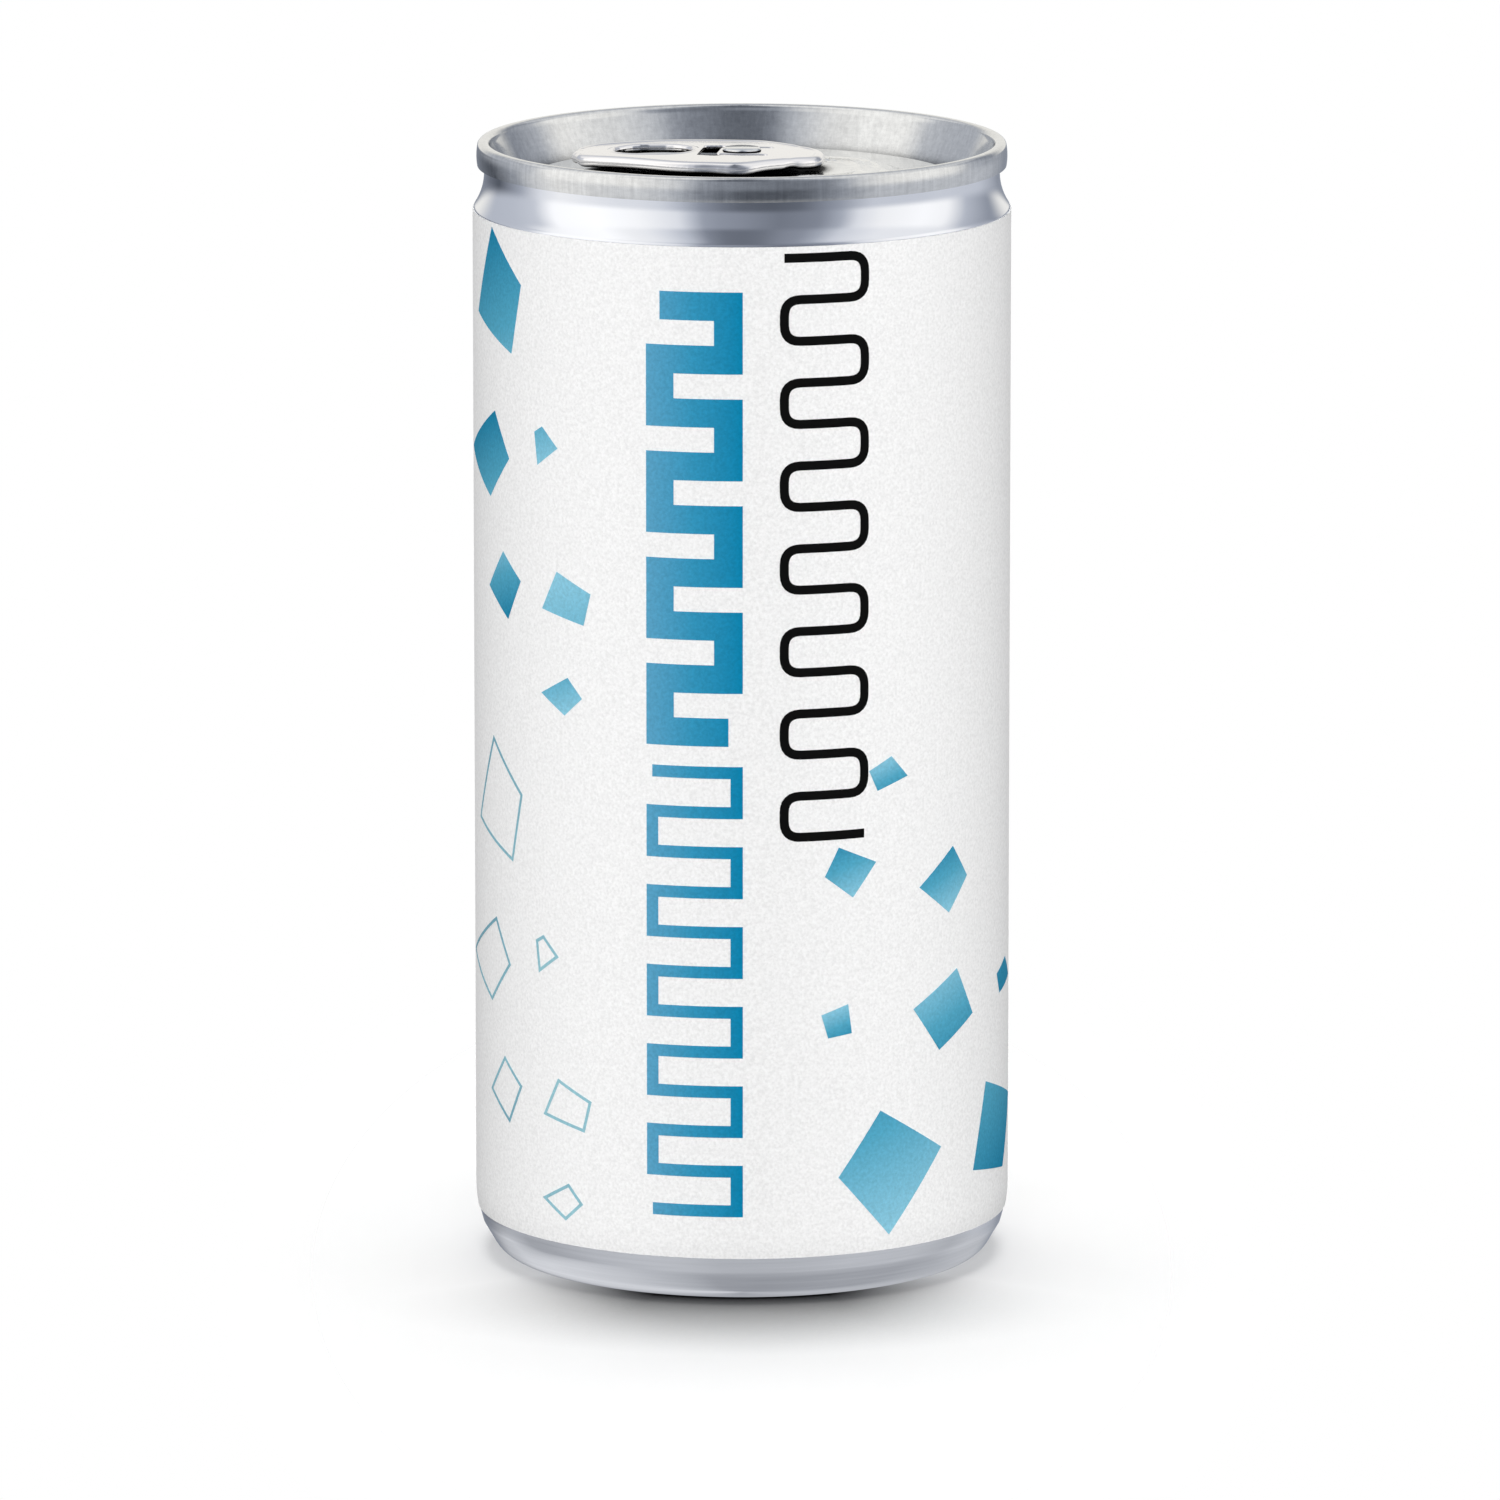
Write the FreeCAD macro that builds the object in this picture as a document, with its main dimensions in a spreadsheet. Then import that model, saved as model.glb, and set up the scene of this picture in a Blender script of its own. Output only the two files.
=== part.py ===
"""A slim 200 ml drinks can, shut and full: necked body, seamed end, stay-on tab, printed sleeve.

Z is the can's axis and the origin is the centre of the circle that it stands on.
The tab lies along X, its finger end towards -X and its nose towards +X.
"""

import FreeCAD, Part
import math
import os

import Sketcher

# Sizes in millimetres and degrees, each written once here and read from the sheet everywhere else.
SIZES = {
    # The drawn and necked body.
    "can_height": 111.8,
    "body_diameter": 53.0,
    "shoulder_drop": 6.7,
    "shoulder_rise": 3.6,
    "shoulder_round": 1.6,
    "neck_step": 1.05,
    # The foot: a standing bead, a short cone and a rounded chime under the straight wall.
    "stand_diameter": 44.8,
    "stand_flat": 0.5,
    "bead_radius": 2.5,
    "bead_sweep": 60.0,
    "chime_step": 0.6,
    "chime_height": 3.1,
    "wall_foot": 7.0,
    "inner_bead": 1.4,
    "dome_edge": 3.6,
    "dome_height": 9.2,
    # The double seam that joins the end to the neck.
    "seam_height": 2.4,
    "seam_width": 1.3,
    "seam_overhang": 0.75,
    "seam_round": 0.5,
    # The stamped end inside the seam.
    "end_gauge": 0.25,
    "chuck_draft": 0.85,
    "chuck_run": 1.6,
    "groove_depth": 6.35,
    "groove_radius": 0.5,
    "panel_depth": 3.75,
    "panel_round": 0.4,
    "panel_rim": 4.2,
    "plateau_slope": 3.6,
    "plateau_depth": 2.85,
    # The tear panel scored in the end, and the raised bead inside the score.
    "tear_back": 1.5,
    "tear_front": 13.2,
    "tear_width": 15.0,
    "tear_round": 5.6,
    "score_width": 0.35,
    "score_depth": 0.12,
    "bead_inset": 1.3,
    "bead_width": 0.9,
    "bead_rise": 0.22,
    # The rivet, drawn up out of the end, that holds the tab.
    "rivet_shank": 2.6,
    "rivet_head": 3.8,
    "rivet_head_rise": 0.3,
    "rivet_clearance": 0.1,
    # The stay-on tab, measured from the rivet to the outside of its curled edge.
    "tab_drop": 0.9,
    "tab_turn": -7.0,
    "tab_finger_reach": 16.8,
    "tab_nose_reach": 8.1,
    "tab_width": 16.4,
    "tab_end_width": 6.6,
    "tab_nose_width": 4.4,
    "tab_back_corner": 5.4,
    "tab_front_corner": 0.9,
    "tab_end_round": 3.8,
    "tab_back_round": 12.0,
    "tab_front_round": 3.2,
    "tab_nose_round": 3.2,
    "curl_diameter": 1.1,
    "web_gauge": 0.4,
    "web_drop": 0.15,
    # The finger hole with its rolled lip.
    "hole_centre": 9.0,
    "hole_length": 7.4,
    "hole_width": 6.0,
    "lip_diameter": 0.8,
    "lip_rise": 0.1,
    # The slot that frees the rivet's island, and the dimple in the nose.
    "slot_back": 3.9,
    "slot_front": 2.8,
    "slot_width": 7.0,
    "slot_flare": 0.8,
    "island_back": 2.3,
    "island_width": 4.2,
    "leg_width": 0.8,
    "slot_round": 0.3,
    "dimple_centre": 4.7,
    "dimple_length": 1.4,
    "dimple_width": 3.4,
    "dimple_round": 0.65,
    "dimple_depth": 0.15,
    # The printed sleeve.
    "sleeve_gauge": 0.1,
    "sleeve_turn_in": 2.35,
}

# Stands for the radius of an arc that is a half circle, fixed by its ends and its centre's height.
HALF = "half"

doc = FreeCAD.newDocument("slim_can")
sheet = doc.addObject("Spreadsheet::Sheet", "Sizes")
for row, (alias, size) in enumerate(SIZES.items(), start=1):
    sheet.set(f"A{row}", alias)
    sheet.set(f"B{row}", str(size))
    sheet.setAlias(f"B{row}", alias)
doc.recompute()


def cell(alias):
    """The expression that reads one size from the sheet."""
    return f"Sizes.{alias}"


def value(expression):
    """What an expression is worth now, in millimetres or degrees."""
    result = sheet.evalExpression(str(expression))
    return float(getattr(result, "Value", result))


def origin_plane(body, role):
    """One of the three planes of a body's own origin."""
    for feature in body.Origin.OriginFeatures:
        if feature.Role == role:
            return feature
    raise ValueError(role)


def new_body(name):
    body = doc.addObject("PartDesign::Body", name)
    body.Label = name
    return body


def new_sketch(body, name, role, height=None):
    """A sketch on a plane of the body's origin, lifted along the plane's normal by an expression."""
    sketch = body.newObject("Sketcher::SketchObject", name)
    sketch.AttachmentSupport = [(origin_plane(body, role), "")]
    sketch.MapMode = "FlatFace"
    if height is not None:
        sketch.setExpression("AttachmentOffset.Base.z", height)
    return sketch


def bind(sketch, kind, operands, name, expression):
    """Adds a dimension to a sketch and ties it to an expression."""
    index = sketch.addConstraint(Sketcher.Constraint(kind, *operands, value(expression)))
    sketch.renameConstraint(index, name)
    sketch.setExpression(f"Constraints.{name}", str(expression))


def pin(sketch, edge, end, name, x_size, y_size):
    """Fixes one end of an edge at two expressions from the sketch's origin."""
    bind(sketch, "DistanceX", (-1, 1, edge, end), f"{name}_x", x_size)
    bind(sketch, "DistanceY", (-1, 1, edge, end), f"{name}_y", y_size)


def arc_between(start, finish, radius, turn):
    """An arc of a circle from start to finish that turns left (1) or right (-1), less than half round."""
    chord = finish - start
    half = chord.Length / 2
    side = FreeCAD.Vector(-chord.y, chord.x, 0).normalize() * turn
    centre = (start + finish) / 2 + side * math.sqrt(max(radius**2 - half**2, 0))
    ends = (start, finish) if turn > 0 else (finish, start)
    first, last = [math.atan2(point.y - centre.y, point.x - centre.x) for point in ends]
    if last < first:
        last += 2 * math.pi
    circle = Part.Circle(centre, FreeCAD.Vector(0, 0, 1), radius)
    return Part.ArcOfCircle(circle, first, last)


def draw_profile(sketch, corners):
    """A closed outline through corners (name, x, y, radius, turn).

    The radius and turn shape the edge that leaves the corner: None is a straight edge, 1 an arc
    that turns left and -1 an arc that turns right. HALF is a half circle to a corner level with it.
    """
    points = [FreeCAD.Vector(value(corner[1]), value(corner[2]), 0) for corner in corners]
    starts = []
    for index, (name, x_size, y_size, radius, turn) in enumerate(corners):
        start = points[index]
        finish = points[(index + 1) % len(points)]
        if radius is None:
            edge = sketch.addGeometry(Part.LineSegment(start, finish))
        else:
            size = (finish - start).Length / 2 if radius == HALF else value(radius)
            edge = sketch.addGeometry(arc_between(start, finish, size, turn))
        ends = (2, 1) if turn == -1 else (1, 2)
        starts.append((edge, *ends))
    for index, (edge, begin, end) in enumerate(starts):
        following = starts[(index + 1) % len(starts)]
        sketch.addConstraint(Sketcher.Constraint("Coincident", edge, end, following[0], following[1]))
    for (edge, begin, end), (name, x_size, y_size, radius, turn) in zip(starts, corners):
        pin(sketch, edge, begin, name, x_size, y_size)
        if radius == HALF:
            bind(sketch, "DistanceY", (-1, 1, edge, 3), f"{name}_centre", y_size)
        elif radius is not None:
            bind(sketch, "Radius", (edge,), f"{name}_radius", radius)


def draw_rounded(sketch, corners):
    """A closed outline with rounded corners (name, x, y, radius), given anticlockwise.

    Each corner is a construction point where its two straight edges would meet. A radius of None
    leaves a plain joint between two edges.
    """
    count = len(corners)
    points = [FreeCAD.Vector(value(corner[1]), value(corner[2]), 0) for corner in corners]
    entries = []
    exits = []
    bends = []
    for index, point in enumerate(points):
        before = (points[index - 1] - point).normalize()
        after = (points[(index + 1) % count] - point).normalize()
        radius = corners[index][3]
        if radius is None:
            entries.append(point)
            exits.append(point)
            bends.append(0)
            continue
        opening = before.getAngle(after)
        reach = value(radius) / math.tan(opening / 2)
        entries.append(point + before * reach)
        exits.append(point + after * reach)
        bends.append(1 if before.cross(after).z < 0 else -1)
    lines = []
    for index in range(count):
        segment = Part.LineSegment(exits[index], entries[(index + 1) % count])
        lines.append(sketch.addGeometry(segment))
    for index, (name, x_size, y_size, radius) in enumerate(corners):
        arriving = lines[index - 1]
        leaving = lines[index]
        if radius is None:
            sketch.addConstraint(Sketcher.Constraint("Coincident", arriving, 2, leaving, 1))
            pin(sketch, leaving, 1, name, x_size, y_size)
            continue
        bend = bends[index]
        arc = sketch.addGeometry(arc_between(entries[index], exits[index], value(radius), bend))
        begin, end = (1, 2) if bend > 0 else (2, 1)
        sketch.addConstraint(Sketcher.Constraint("Tangent", arriving, 2, arc, begin))
        sketch.addConstraint(Sketcher.Constraint("Tangent", arc, end, leaving, 1))
        bind(sketch, "Radius", (arc,), f"{name}_radius", radius)
        corner = sketch.addGeometry(Part.Point(points[index]), True)
        sketch.addConstraint(Sketcher.Constraint("PointOnObject", corner, 1, arriving))
        sketch.addConstraint(Sketcher.Constraint("PointOnObject", corner, 1, leaving))
        pin(sketch, corner, 1, name, x_size, y_size)


def draw_slot(sketch, name, centre, half_length, half_width):
    """A slot with semicircular ends, long along the sketch's X, starting at its lowest X."""
    left = f"({centre}) - ({half_length}) + ({half_width})"
    right = f"({centre}) + ({half_length}) - ({half_width})"
    radius = value(half_width)
    axis = FreeCAD.Vector(0, 0, 1)
    left_centre = FreeCAD.Vector(value(left), 0, 0)
    right_centre = FreeCAD.Vector(value(right), 0, 0)
    lift = FreeCAD.Vector(0, radius, 0)
    quarter = math.pi / 2
    lower_left = Part.ArcOfCircle(Part.Circle(left_centre, axis, radius), math.pi, 3 * quarter)
    lower = Part.LineSegment(left_centre - lift, right_centre - lift)
    right_end = Part.ArcOfCircle(Part.Circle(right_centre, axis, radius), -quarter, quarter)
    upper = Part.LineSegment(right_centre + lift, left_centre + lift)
    upper_left = Part.ArcOfCircle(Part.Circle(left_centre, axis, radius), quarter, math.pi)
    edges = [sketch.addGeometry(edge) for edge in (lower_left, lower, right_end, upper, upper_left)]
    for first, second in zip(edges, edges[1:]):
        sketch.addConstraint(Sketcher.Constraint("Tangent", first, 2, second, 1))
    sketch.addConstraint(Sketcher.Constraint("Coincident", edges[4], 2, edges[0], 1))
    sketch.addConstraint(Sketcher.Constraint("Coincident", edges[0], 3, edges[4], 3))
    sketch.addConstraint(Sketcher.Constraint("PointOnObject", edges[0], 1, -1))
    pin(sketch, edges[0], 3, f"{name}_left", left, "0")
    bind(sketch, "DistanceX", (-1, 1, edges[2], 3), f"{name}_right_x", right)
    bind(sketch, "Radius", (edges[0],), f"{name}_radius", half_width)


def revolve(body, sketch, name):
    """A full turn of a profile about the can's axis."""
    feature = body.newObject("PartDesign::Revolution", name)
    feature.Profile = sketch
    feature.ReferenceAxis = (sketch, ["V_Axis"])
    feature.Angle = 360
    sketch.Visibility = False
    return feature


# Radii and heights that several pieces share.
TOP = cell("can_height")
WALL = f"({cell('body_diameter')} / 2)"
NECK = f"({WALL} - {cell('neck_step')})"
SEAM_OUTER = f"({NECK} + {cell('seam_overhang')})"
SEAM_INNER = f"({SEAM_OUTER} - {cell('seam_width')})"
SEAM_BOTTOM = f"({TOP} - {cell('seam_height')})"
SHOULDER = f"({TOP} - {cell('shoulder_drop')})"
SHOULDER_TOP = f"({SHOULDER} + {cell('shoulder_rise')})"
CHUCK_TOP = f"({SEAM_INNER} - {cell('chuck_draft')})"
CHUCK_FOOT = f"({CHUCK_TOP} - {cell('chuck_run')})"
GROOVE_CENTRE = f"({TOP} - {cell('groove_depth')} + {cell('groove_radius')})"
PANEL_RADIUS = f"({CHUCK_FOOT} - 2 * {cell('groove_radius')})"
PANEL = f"({TOP} - {cell('panel_depth')})"
SLOPE_FOOT = f"({PANEL_RADIUS} - {cell('panel_rim')})"
PLATEAU_RADIUS = f"({SLOPE_FOOT} - {cell('plateau_slope')})"
PLATEAU = f"({TOP} - {cell('plateau_depth')})"
PLATEAU_STEP = f"({PLATEAU} - {PANEL})"
SLOPE_MIDDLE = f"({SLOPE_FOOT} - {cell('plateau_slope')} / 2)"
CHIME_RUN = f"({cell('wall_foot')} - {cell('chime_height')})"
CHIME_ARC = f"(({cell('chime_step')}^2 + {CHIME_RUN}^2) / (2 * {cell('chime_step')}))"


def s_curve_radius(run, rise):
    """The radius of two equal arcs that join two parallel lines smoothly."""
    return f"(({run})^2 + ({rise})^2) / (4 * ({run}))"


def end_underside():
    """Corners under the stamped end, from the seam's foot inwards to the plateau's edge."""
    gauge = cell("end_gauge")
    curve = s_curve_radius(PLATEAU_STEP, cell("plateau_slope"))
    return [
        ("chuck_top", f"{CHUCK_TOP} + {gauge}", SEAM_BOTTOM, None, 0),
        ("groove_out", f"{CHUCK_FOOT} + {gauge}", GROOVE_CENTRE, HALF, -1),
        ("groove_in", f"{PANEL_RADIUS} - {gauge}", GROOVE_CENTRE, None, 0),
        (
            "panel_wall",
            f"{PANEL_RADIUS} - {gauge}",
            f"{PANEL} - {cell('panel_round')}",
            f"{cell('panel_round')} - {gauge}",
            1,
        ),
        ("panel_edge", f"{PANEL_RADIUS} - {cell('panel_round')}", f"{PANEL} - {gauge}", None, 0),
        ("slope_foot", SLOPE_FOOT, f"{PANEL} - {gauge}", curve, -1),
        ("slope_middle", SLOPE_MIDDLE, f"({PANEL} + {PLATEAU}) / 2 - {gauge}", curve, 1),
        ("slope_top", PLATEAU_RADIUS, f"{PLATEAU} - {gauge}", None, 0),
    ]


def make_can_body():
    """The full body: one closed solid from the domed base to the underside of the end."""
    body = new_body("can_body")
    sketch = new_sketch(body, "body_profile", "XZ_Plane")
    stand = f"({cell('stand_diameter')} / 2)"
    flat = f"({cell('stand_flat')} / 2)"
    bead = cell("bead_radius")
    inner = cell("inner_bead")
    sweep = f"({cell('bead_sweep')} * 1 deg)"
    leg = f"({stand} - {flat} - {inner})"
    crown = f"({cell('dome_height')} - {cell('dome_edge')})"
    neck_step = cell("neck_step")
    shoulder_rise = cell("shoulder_rise")
    shoulder_round = cell("shoulder_round")
    both_curves = f"(({neck_step}^2 + {shoulder_rise}^2) / (2 * {neck_step}))"
    corners = [
        ("dome_crown", "0", cell("dome_height"), f"({leg}^2 + {crown}^2) / (2 * {crown})", -1),
        ("dome_edge", leg, cell("dome_edge"), None, 0),
        ("leg_foot", leg, inner, inner, 1),
        ("stand_in", f"{stand} - {flat}", "0", None, 0),
        ("stand_out", f"{stand} + {flat}", "0", bead, 1),
        (
            "bead_top",
            f"{stand} + {flat} + {bead} * sin({sweep})",
            f"{bead} * (1 - cos({sweep}))",
            None,
            0,
        ),
        ("chime", f"{WALL} - {cell('chime_step')}", cell("chime_height"), CHIME_ARC, 1),
        ("wall_foot", WALL, cell("wall_foot"), None, 0),
        ("wall_top", WALL, SHOULDER, shoulder_round, 1),
        (
            "shoulder_turn",
            f"{WALL} - {shoulder_round} * {neck_step} / {both_curves}",
            f"{SHOULDER} + {shoulder_round} * {shoulder_rise} / {both_curves}",
            f"{both_curves} - {shoulder_round}",
            -1,
        ),
        ("neck_foot", NECK, SHOULDER_TOP, None, 0),
        ("neck_top", NECK, SEAM_BOTTOM, None, 0),
        *end_underside(),
        ("fill_centre", "0", f"{PLATEAU} - {cell('end_gauge')}", None, 0),
    ]
    draw_profile(sketch, corners)
    revolve(body, sketch, "turned_body")
    return body


def make_can_end():
    """The end: double seam, chuck wall, countersink groove, raised panel, tear panel and rivet."""
    body = new_body("can_end")
    sketch = new_sketch(body, "end_profile", "XZ_Plane")
    rounding = cell("seam_round")
    web_top = f"({TOP} - {cell('tab_drop')} - {cell('web_drop')})"
    web_foot = f"({web_top} - {cell('web_gauge')})"
    head = f"({cell('rivet_head')} / 2)"
    shank = f"({cell('rivet_shank')} / 2)"
    curve = s_curve_radius(PLATEAU_STEP, cell("plateau_slope"))
    corners = [
        ("plate_centre", "0", f"{PLATEAU} - {cell('end_gauge')}", None, 0),
    ]
    # The underside is walked outwards, so each arc leaves from its other end and turns the other way.
    under = end_underside()
    for index in range(len(under) - 1, -1, -1):
        name, x_size, y_size, radius, turn = under[index]
        leaving = under[index - 1] if index else (None, None, None, None, 0)
        corners.append((f"under_{name}", x_size, y_size, leaving[3], -leaving[4]))
    corners += [
        ("seam_foot", SEAM_OUTER, SEAM_BOTTOM, None, 0),
        ("seam_side", SEAM_OUTER, f"{TOP} - {rounding}", rounding, 1),
        ("seam_crest_out", f"{SEAM_OUTER} - {rounding}", TOP, None, 0),
        ("seam_crest_in", f"{SEAM_INNER} + {rounding}", TOP, rounding, 1),
        ("seam_mouth", SEAM_INNER, f"{TOP} - {rounding}", None, 0),
        ("chuck_break", CHUCK_TOP, SEAM_BOTTOM, None, 0),
        ("groove_out", CHUCK_FOOT, GROOVE_CENTRE, HALF, -1),
        ("groove_in", PANEL_RADIUS, GROOVE_CENTRE, None, 0),
        ("panel_wall", PANEL_RADIUS, f"{PANEL} - {cell('panel_round')}", cell("panel_round"), 1),
        ("panel_edge", f"{PANEL_RADIUS} - {cell('panel_round')}", PANEL, None, 0),
        ("slope_foot", SLOPE_FOOT, PANEL, curve, -1),
        ("slope_middle", SLOPE_MIDDLE, f"({PANEL} + {PLATEAU}) / 2", curve, 1),
        ("slope_top", PLATEAU_RADIUS, PLATEAU, None, 0),
        ("rivet_foot", head, PLATEAU, None, 0),
        ("rivet_shoulder", head, web_foot, None, 0),
        ("shank_foot", shank, web_foot, None, 0),
        ("shank_top", shank, web_top, None, 0),
        ("head_foot", head, web_top, None, 0),
        ("head_top", head, f"{web_top} + {cell('rivet_head_rise')}", None, 0),
        ("rivet_centre", "0", f"{web_top} + {cell('rivet_head_rise')}", None, 0),
    ]
    draw_profile(sketch, corners)
    revolve(body, sketch, "turned_end")

    bead = new_sketch(body, "bead_outline", "XY_Plane", PLATEAU)
    draw_tear_outline(bead, "outer", cell("bead_inset"))
    draw_tear_outline(bead, "inner", f"({cell('bead_inset')} + {cell('bead_width')})")
    raised = body.newObject("PartDesign::Pad", "raised_bead")
    raised.Profile = bead
    raised.setExpression("Length", cell("bead_rise"))

    score = new_sketch(body, "score_outline", "XY_Plane", PLATEAU)
    draw_tear_outline(score, "outer", "0")
    draw_tear_outline(score, "inner", cell("score_width"))
    cut = body.newObject("PartDesign::Pocket", "score_line")
    cut.Profile = score
    cut.setExpression("Length", cell("score_depth"))
    return body


def draw_tear_outline(sketch, name, inset):
    """The rounded outline of the tear panel, drawn in by an inset."""
    back = f"-{cell('tear_back')} + {inset}"
    front = f"{cell('tear_front')} - {inset}"
    half = f"{cell('tear_width')} / 2 - {inset}"
    radius = f"{cell('tear_round')} - {inset}"
    corners = [
        (f"{name}_back_near", back, f"-({half})", radius),
        (f"{name}_front_near", front, f"-({half})", radius),
        (f"{name}_front_far", front, half, radius),
        (f"{name}_back_far", back, half, radius),
    ]
    draw_rounded(sketch, corners)


def make_pull_tab():
    """The stay-on tab: a flat web in a curled edge, with a finger hole, a slot and a dimple."""
    body = new_body("pull_tab")
    curl = f"({cell('curl_diameter')} / 2)"
    tab_top = f"({TOP} - {cell('tab_drop')})"
    curl_centre = f"({tab_top} - {curl})"
    web_top = f"({tab_top} - {cell('web_drop')})"
    web_foot = f"({web_top} - {cell('web_gauge')})"

    half = f"({cell('tab_width')} / 2 - {curl})"
    end_half = f"({cell('tab_end_width')} / 2)"
    nose_half = f"({cell('tab_nose_width')} / 2)"
    finger = f"-({cell('tab_finger_reach')} - {curl})"
    nose = f"({cell('tab_nose_reach')} - {curl})"
    back = f"-{cell('tab_back_corner')}"
    front = cell("tab_front_corner")
    outline = [
        ("start", finger, "0", None),
        ("end_near", finger, f"-{end_half}", cell("tab_end_round")),
        ("back_near", back, f"-{half}", cell("tab_back_round")),
        ("front_near", front, f"-{half}", cell("tab_front_round")),
        ("nose_near", nose, f"-{nose_half}", cell("tab_nose_round")),
        ("nose_far", nose, nose_half, cell("tab_nose_round")),
        ("front_far", front, half, cell("tab_front_round")),
        ("back_far", back, half, cell("tab_back_round")),
        ("end_far", finger, end_half, cell("tab_end_round")),
    ]

    web_sketch = new_sketch(body, "web_outline", "XY_Plane", web_foot)
    draw_rounded(web_sketch, outline)
    web = body.newObject("PartDesign::Pad", "web")
    web.Profile = web_sketch
    web.setExpression("Length", cell("web_gauge"))

    slot = new_sketch(body, "slot_outline", "XY_Plane", web_foot)
    slot_half = f"({cell('slot_width')} / 2)"
    neck_half = f"({slot_half} - {cell('slot_flare')} / 2)"
    island = f"({cell('island_width')} / 2)"
    leg = f"({island} + {cell('leg_width')})"
    far_end = cell("slot_front")
    back_end = f"-{cell('slot_back')}"
    waist = f"-({cell('island_back')} - {cell('slot_flare')})"
    rounding = cell("slot_round")
    slot_corners = [
        ("leg_near_in", far_end, f"-{island}", rounding),
        ("island_near", f"-{cell('island_back')}", f"-{island}", rounding),
        ("island_far", f"-{cell('island_back')}", island, rounding),
        ("leg_far_in", far_end, island, rounding),
        ("leg_far_out", far_end, leg, rounding),
        ("waist_far", waist, leg, rounding),
        ("flare_far", f"-{cell('island_back')}", slot_half, rounding),
        ("back_far", back_end, neck_half, rounding),
        ("back_near", back_end, f"-{neck_half}", rounding),
        ("flare_near", f"-{cell('island_back')}", f"-{slot_half}", rounding),
        ("waist_near", waist, f"-{leg}", rounding),
        ("leg_near_out", far_end, f"-{leg}", rounding),
    ]
    draw_rounded(slot, slot_corners)
    cut_through(body, slot, "slot", cell("web_gauge"))

    hole = new_sketch(body, "hole_outline", "XY_Plane", web_foot)
    lip = f"({cell('lip_diameter')} / 2)"
    hole_x = f"-{cell('hole_centre')}"
    half_length = f"({cell('hole_length')} / 2)"
    half_width = f"({cell('hole_width')} / 2)"
    draw_slot(hole, "hole", hole_x, f"{half_length} + {lip}", f"{half_width} + {lip}")
    cut_through(body, hole, "finger_hole", cell("web_gauge"))

    rivet_hole = new_sketch(body, "rivet_hole_outline", "XY_Plane", web_foot)
    bore = f"{cell('rivet_shank')} / 2 + {cell('rivet_clearance')}"
    draw_circle(rivet_hole, "bore", "0", "0", bore)
    cut_through(body, rivet_hole, "rivet_hole", cell("web_gauge"))

    dimple = new_sketch(body, "dimple_outline", "XY_Plane", web_top)
    dimple_half = f"({cell('dimple_width')} / 2)"
    dimple_back = f"{cell('dimple_centre')} - {cell('dimple_length')} / 2"
    dimple_front = f"{cell('dimple_centre')} + {cell('dimple_length')} / 2"
    dimple_round = cell("dimple_round")
    draw_rounded(
        dimple,
        [
            ("back_near", dimple_back, f"-{dimple_half}", dimple_round),
            ("front_near", dimple_front, f"-{dimple_half}", dimple_round),
            ("front_far", dimple_front, dimple_half, dimple_round),
            ("back_far", dimple_back, dimple_half, dimple_round),
        ],
    )
    cut_through(body, dimple, "nose_dimple", cell("dimple_depth"), downwards=True)

    sweep_round(body, "curl", outline, finger, curl_centre, curl)
    lip_centre = f"({web_top} + {cell('lip_rise')} - {lip})"
    lip_path = new_sketch(body, "lip_path", "XY_Plane", lip_centre)
    draw_slot(lip_path, "lip", hole_x, f"{half_length} + {lip}", f"{half_width} + {lip}")
    lip_start = f"{hole_x} - {half_length} - {lip}"
    sweep_along(body, "lip", lip_path, lip_start, lip_centre, lip)

    turn = FreeCAD.Rotation(FreeCAD.Vector(0, 0, 1), value(cell("tab_turn")))
    body.Placement = FreeCAD.Placement(FreeCAD.Vector(0, 0, 0), turn)
    body.setExpression("Placement.Rotation.Angle", f"{cell('tab_turn')} * 1 deg")
    return body


def draw_circle(sketch, name, x_size, y_size, radius):
    """A circle at two expressions from the sketch's origin."""
    centre = FreeCAD.Vector(value(x_size), value(y_size), 0)
    circle = sketch.addGeometry(Part.Circle(centre, FreeCAD.Vector(0, 0, 1), value(radius)))
    pin(sketch, circle, 3, name, x_size, y_size)
    bind(sketch, "Radius", (circle,), f"{name}_radius", radius)


def cut_through(body, sketch, name, depth, downwards=False):
    """A pocket from the sketch's plane, up through the web unless it is to cut downwards."""
    pocket = body.newObject("PartDesign::Pocket", name)
    pocket.Profile = sketch
    pocket.Reversed = not downwards
    pocket.setExpression("Length", depth)
    return pocket


def sweep_round(body, name, outline, start, height, radius):
    """A round section carried along a rounded outline at one height."""
    path = new_sketch(body, f"{name}_path", "XY_Plane", height)
    draw_rounded(path, outline)
    return sweep_along(body, name, path, start, height, radius)


def sweep_along(body, name, path, start, height, radius):
    """A round section carried along a path that starts at the lowest X."""
    section = new_sketch(body, f"{name}_section", "XZ_Plane")
    draw_circle(section, "round", start, height, radius)
    pipe = body.newObject("PartDesign::AdditivePipe", name)
    pipe.Profile = section
    pipe.Spine = path
    return pipe


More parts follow.
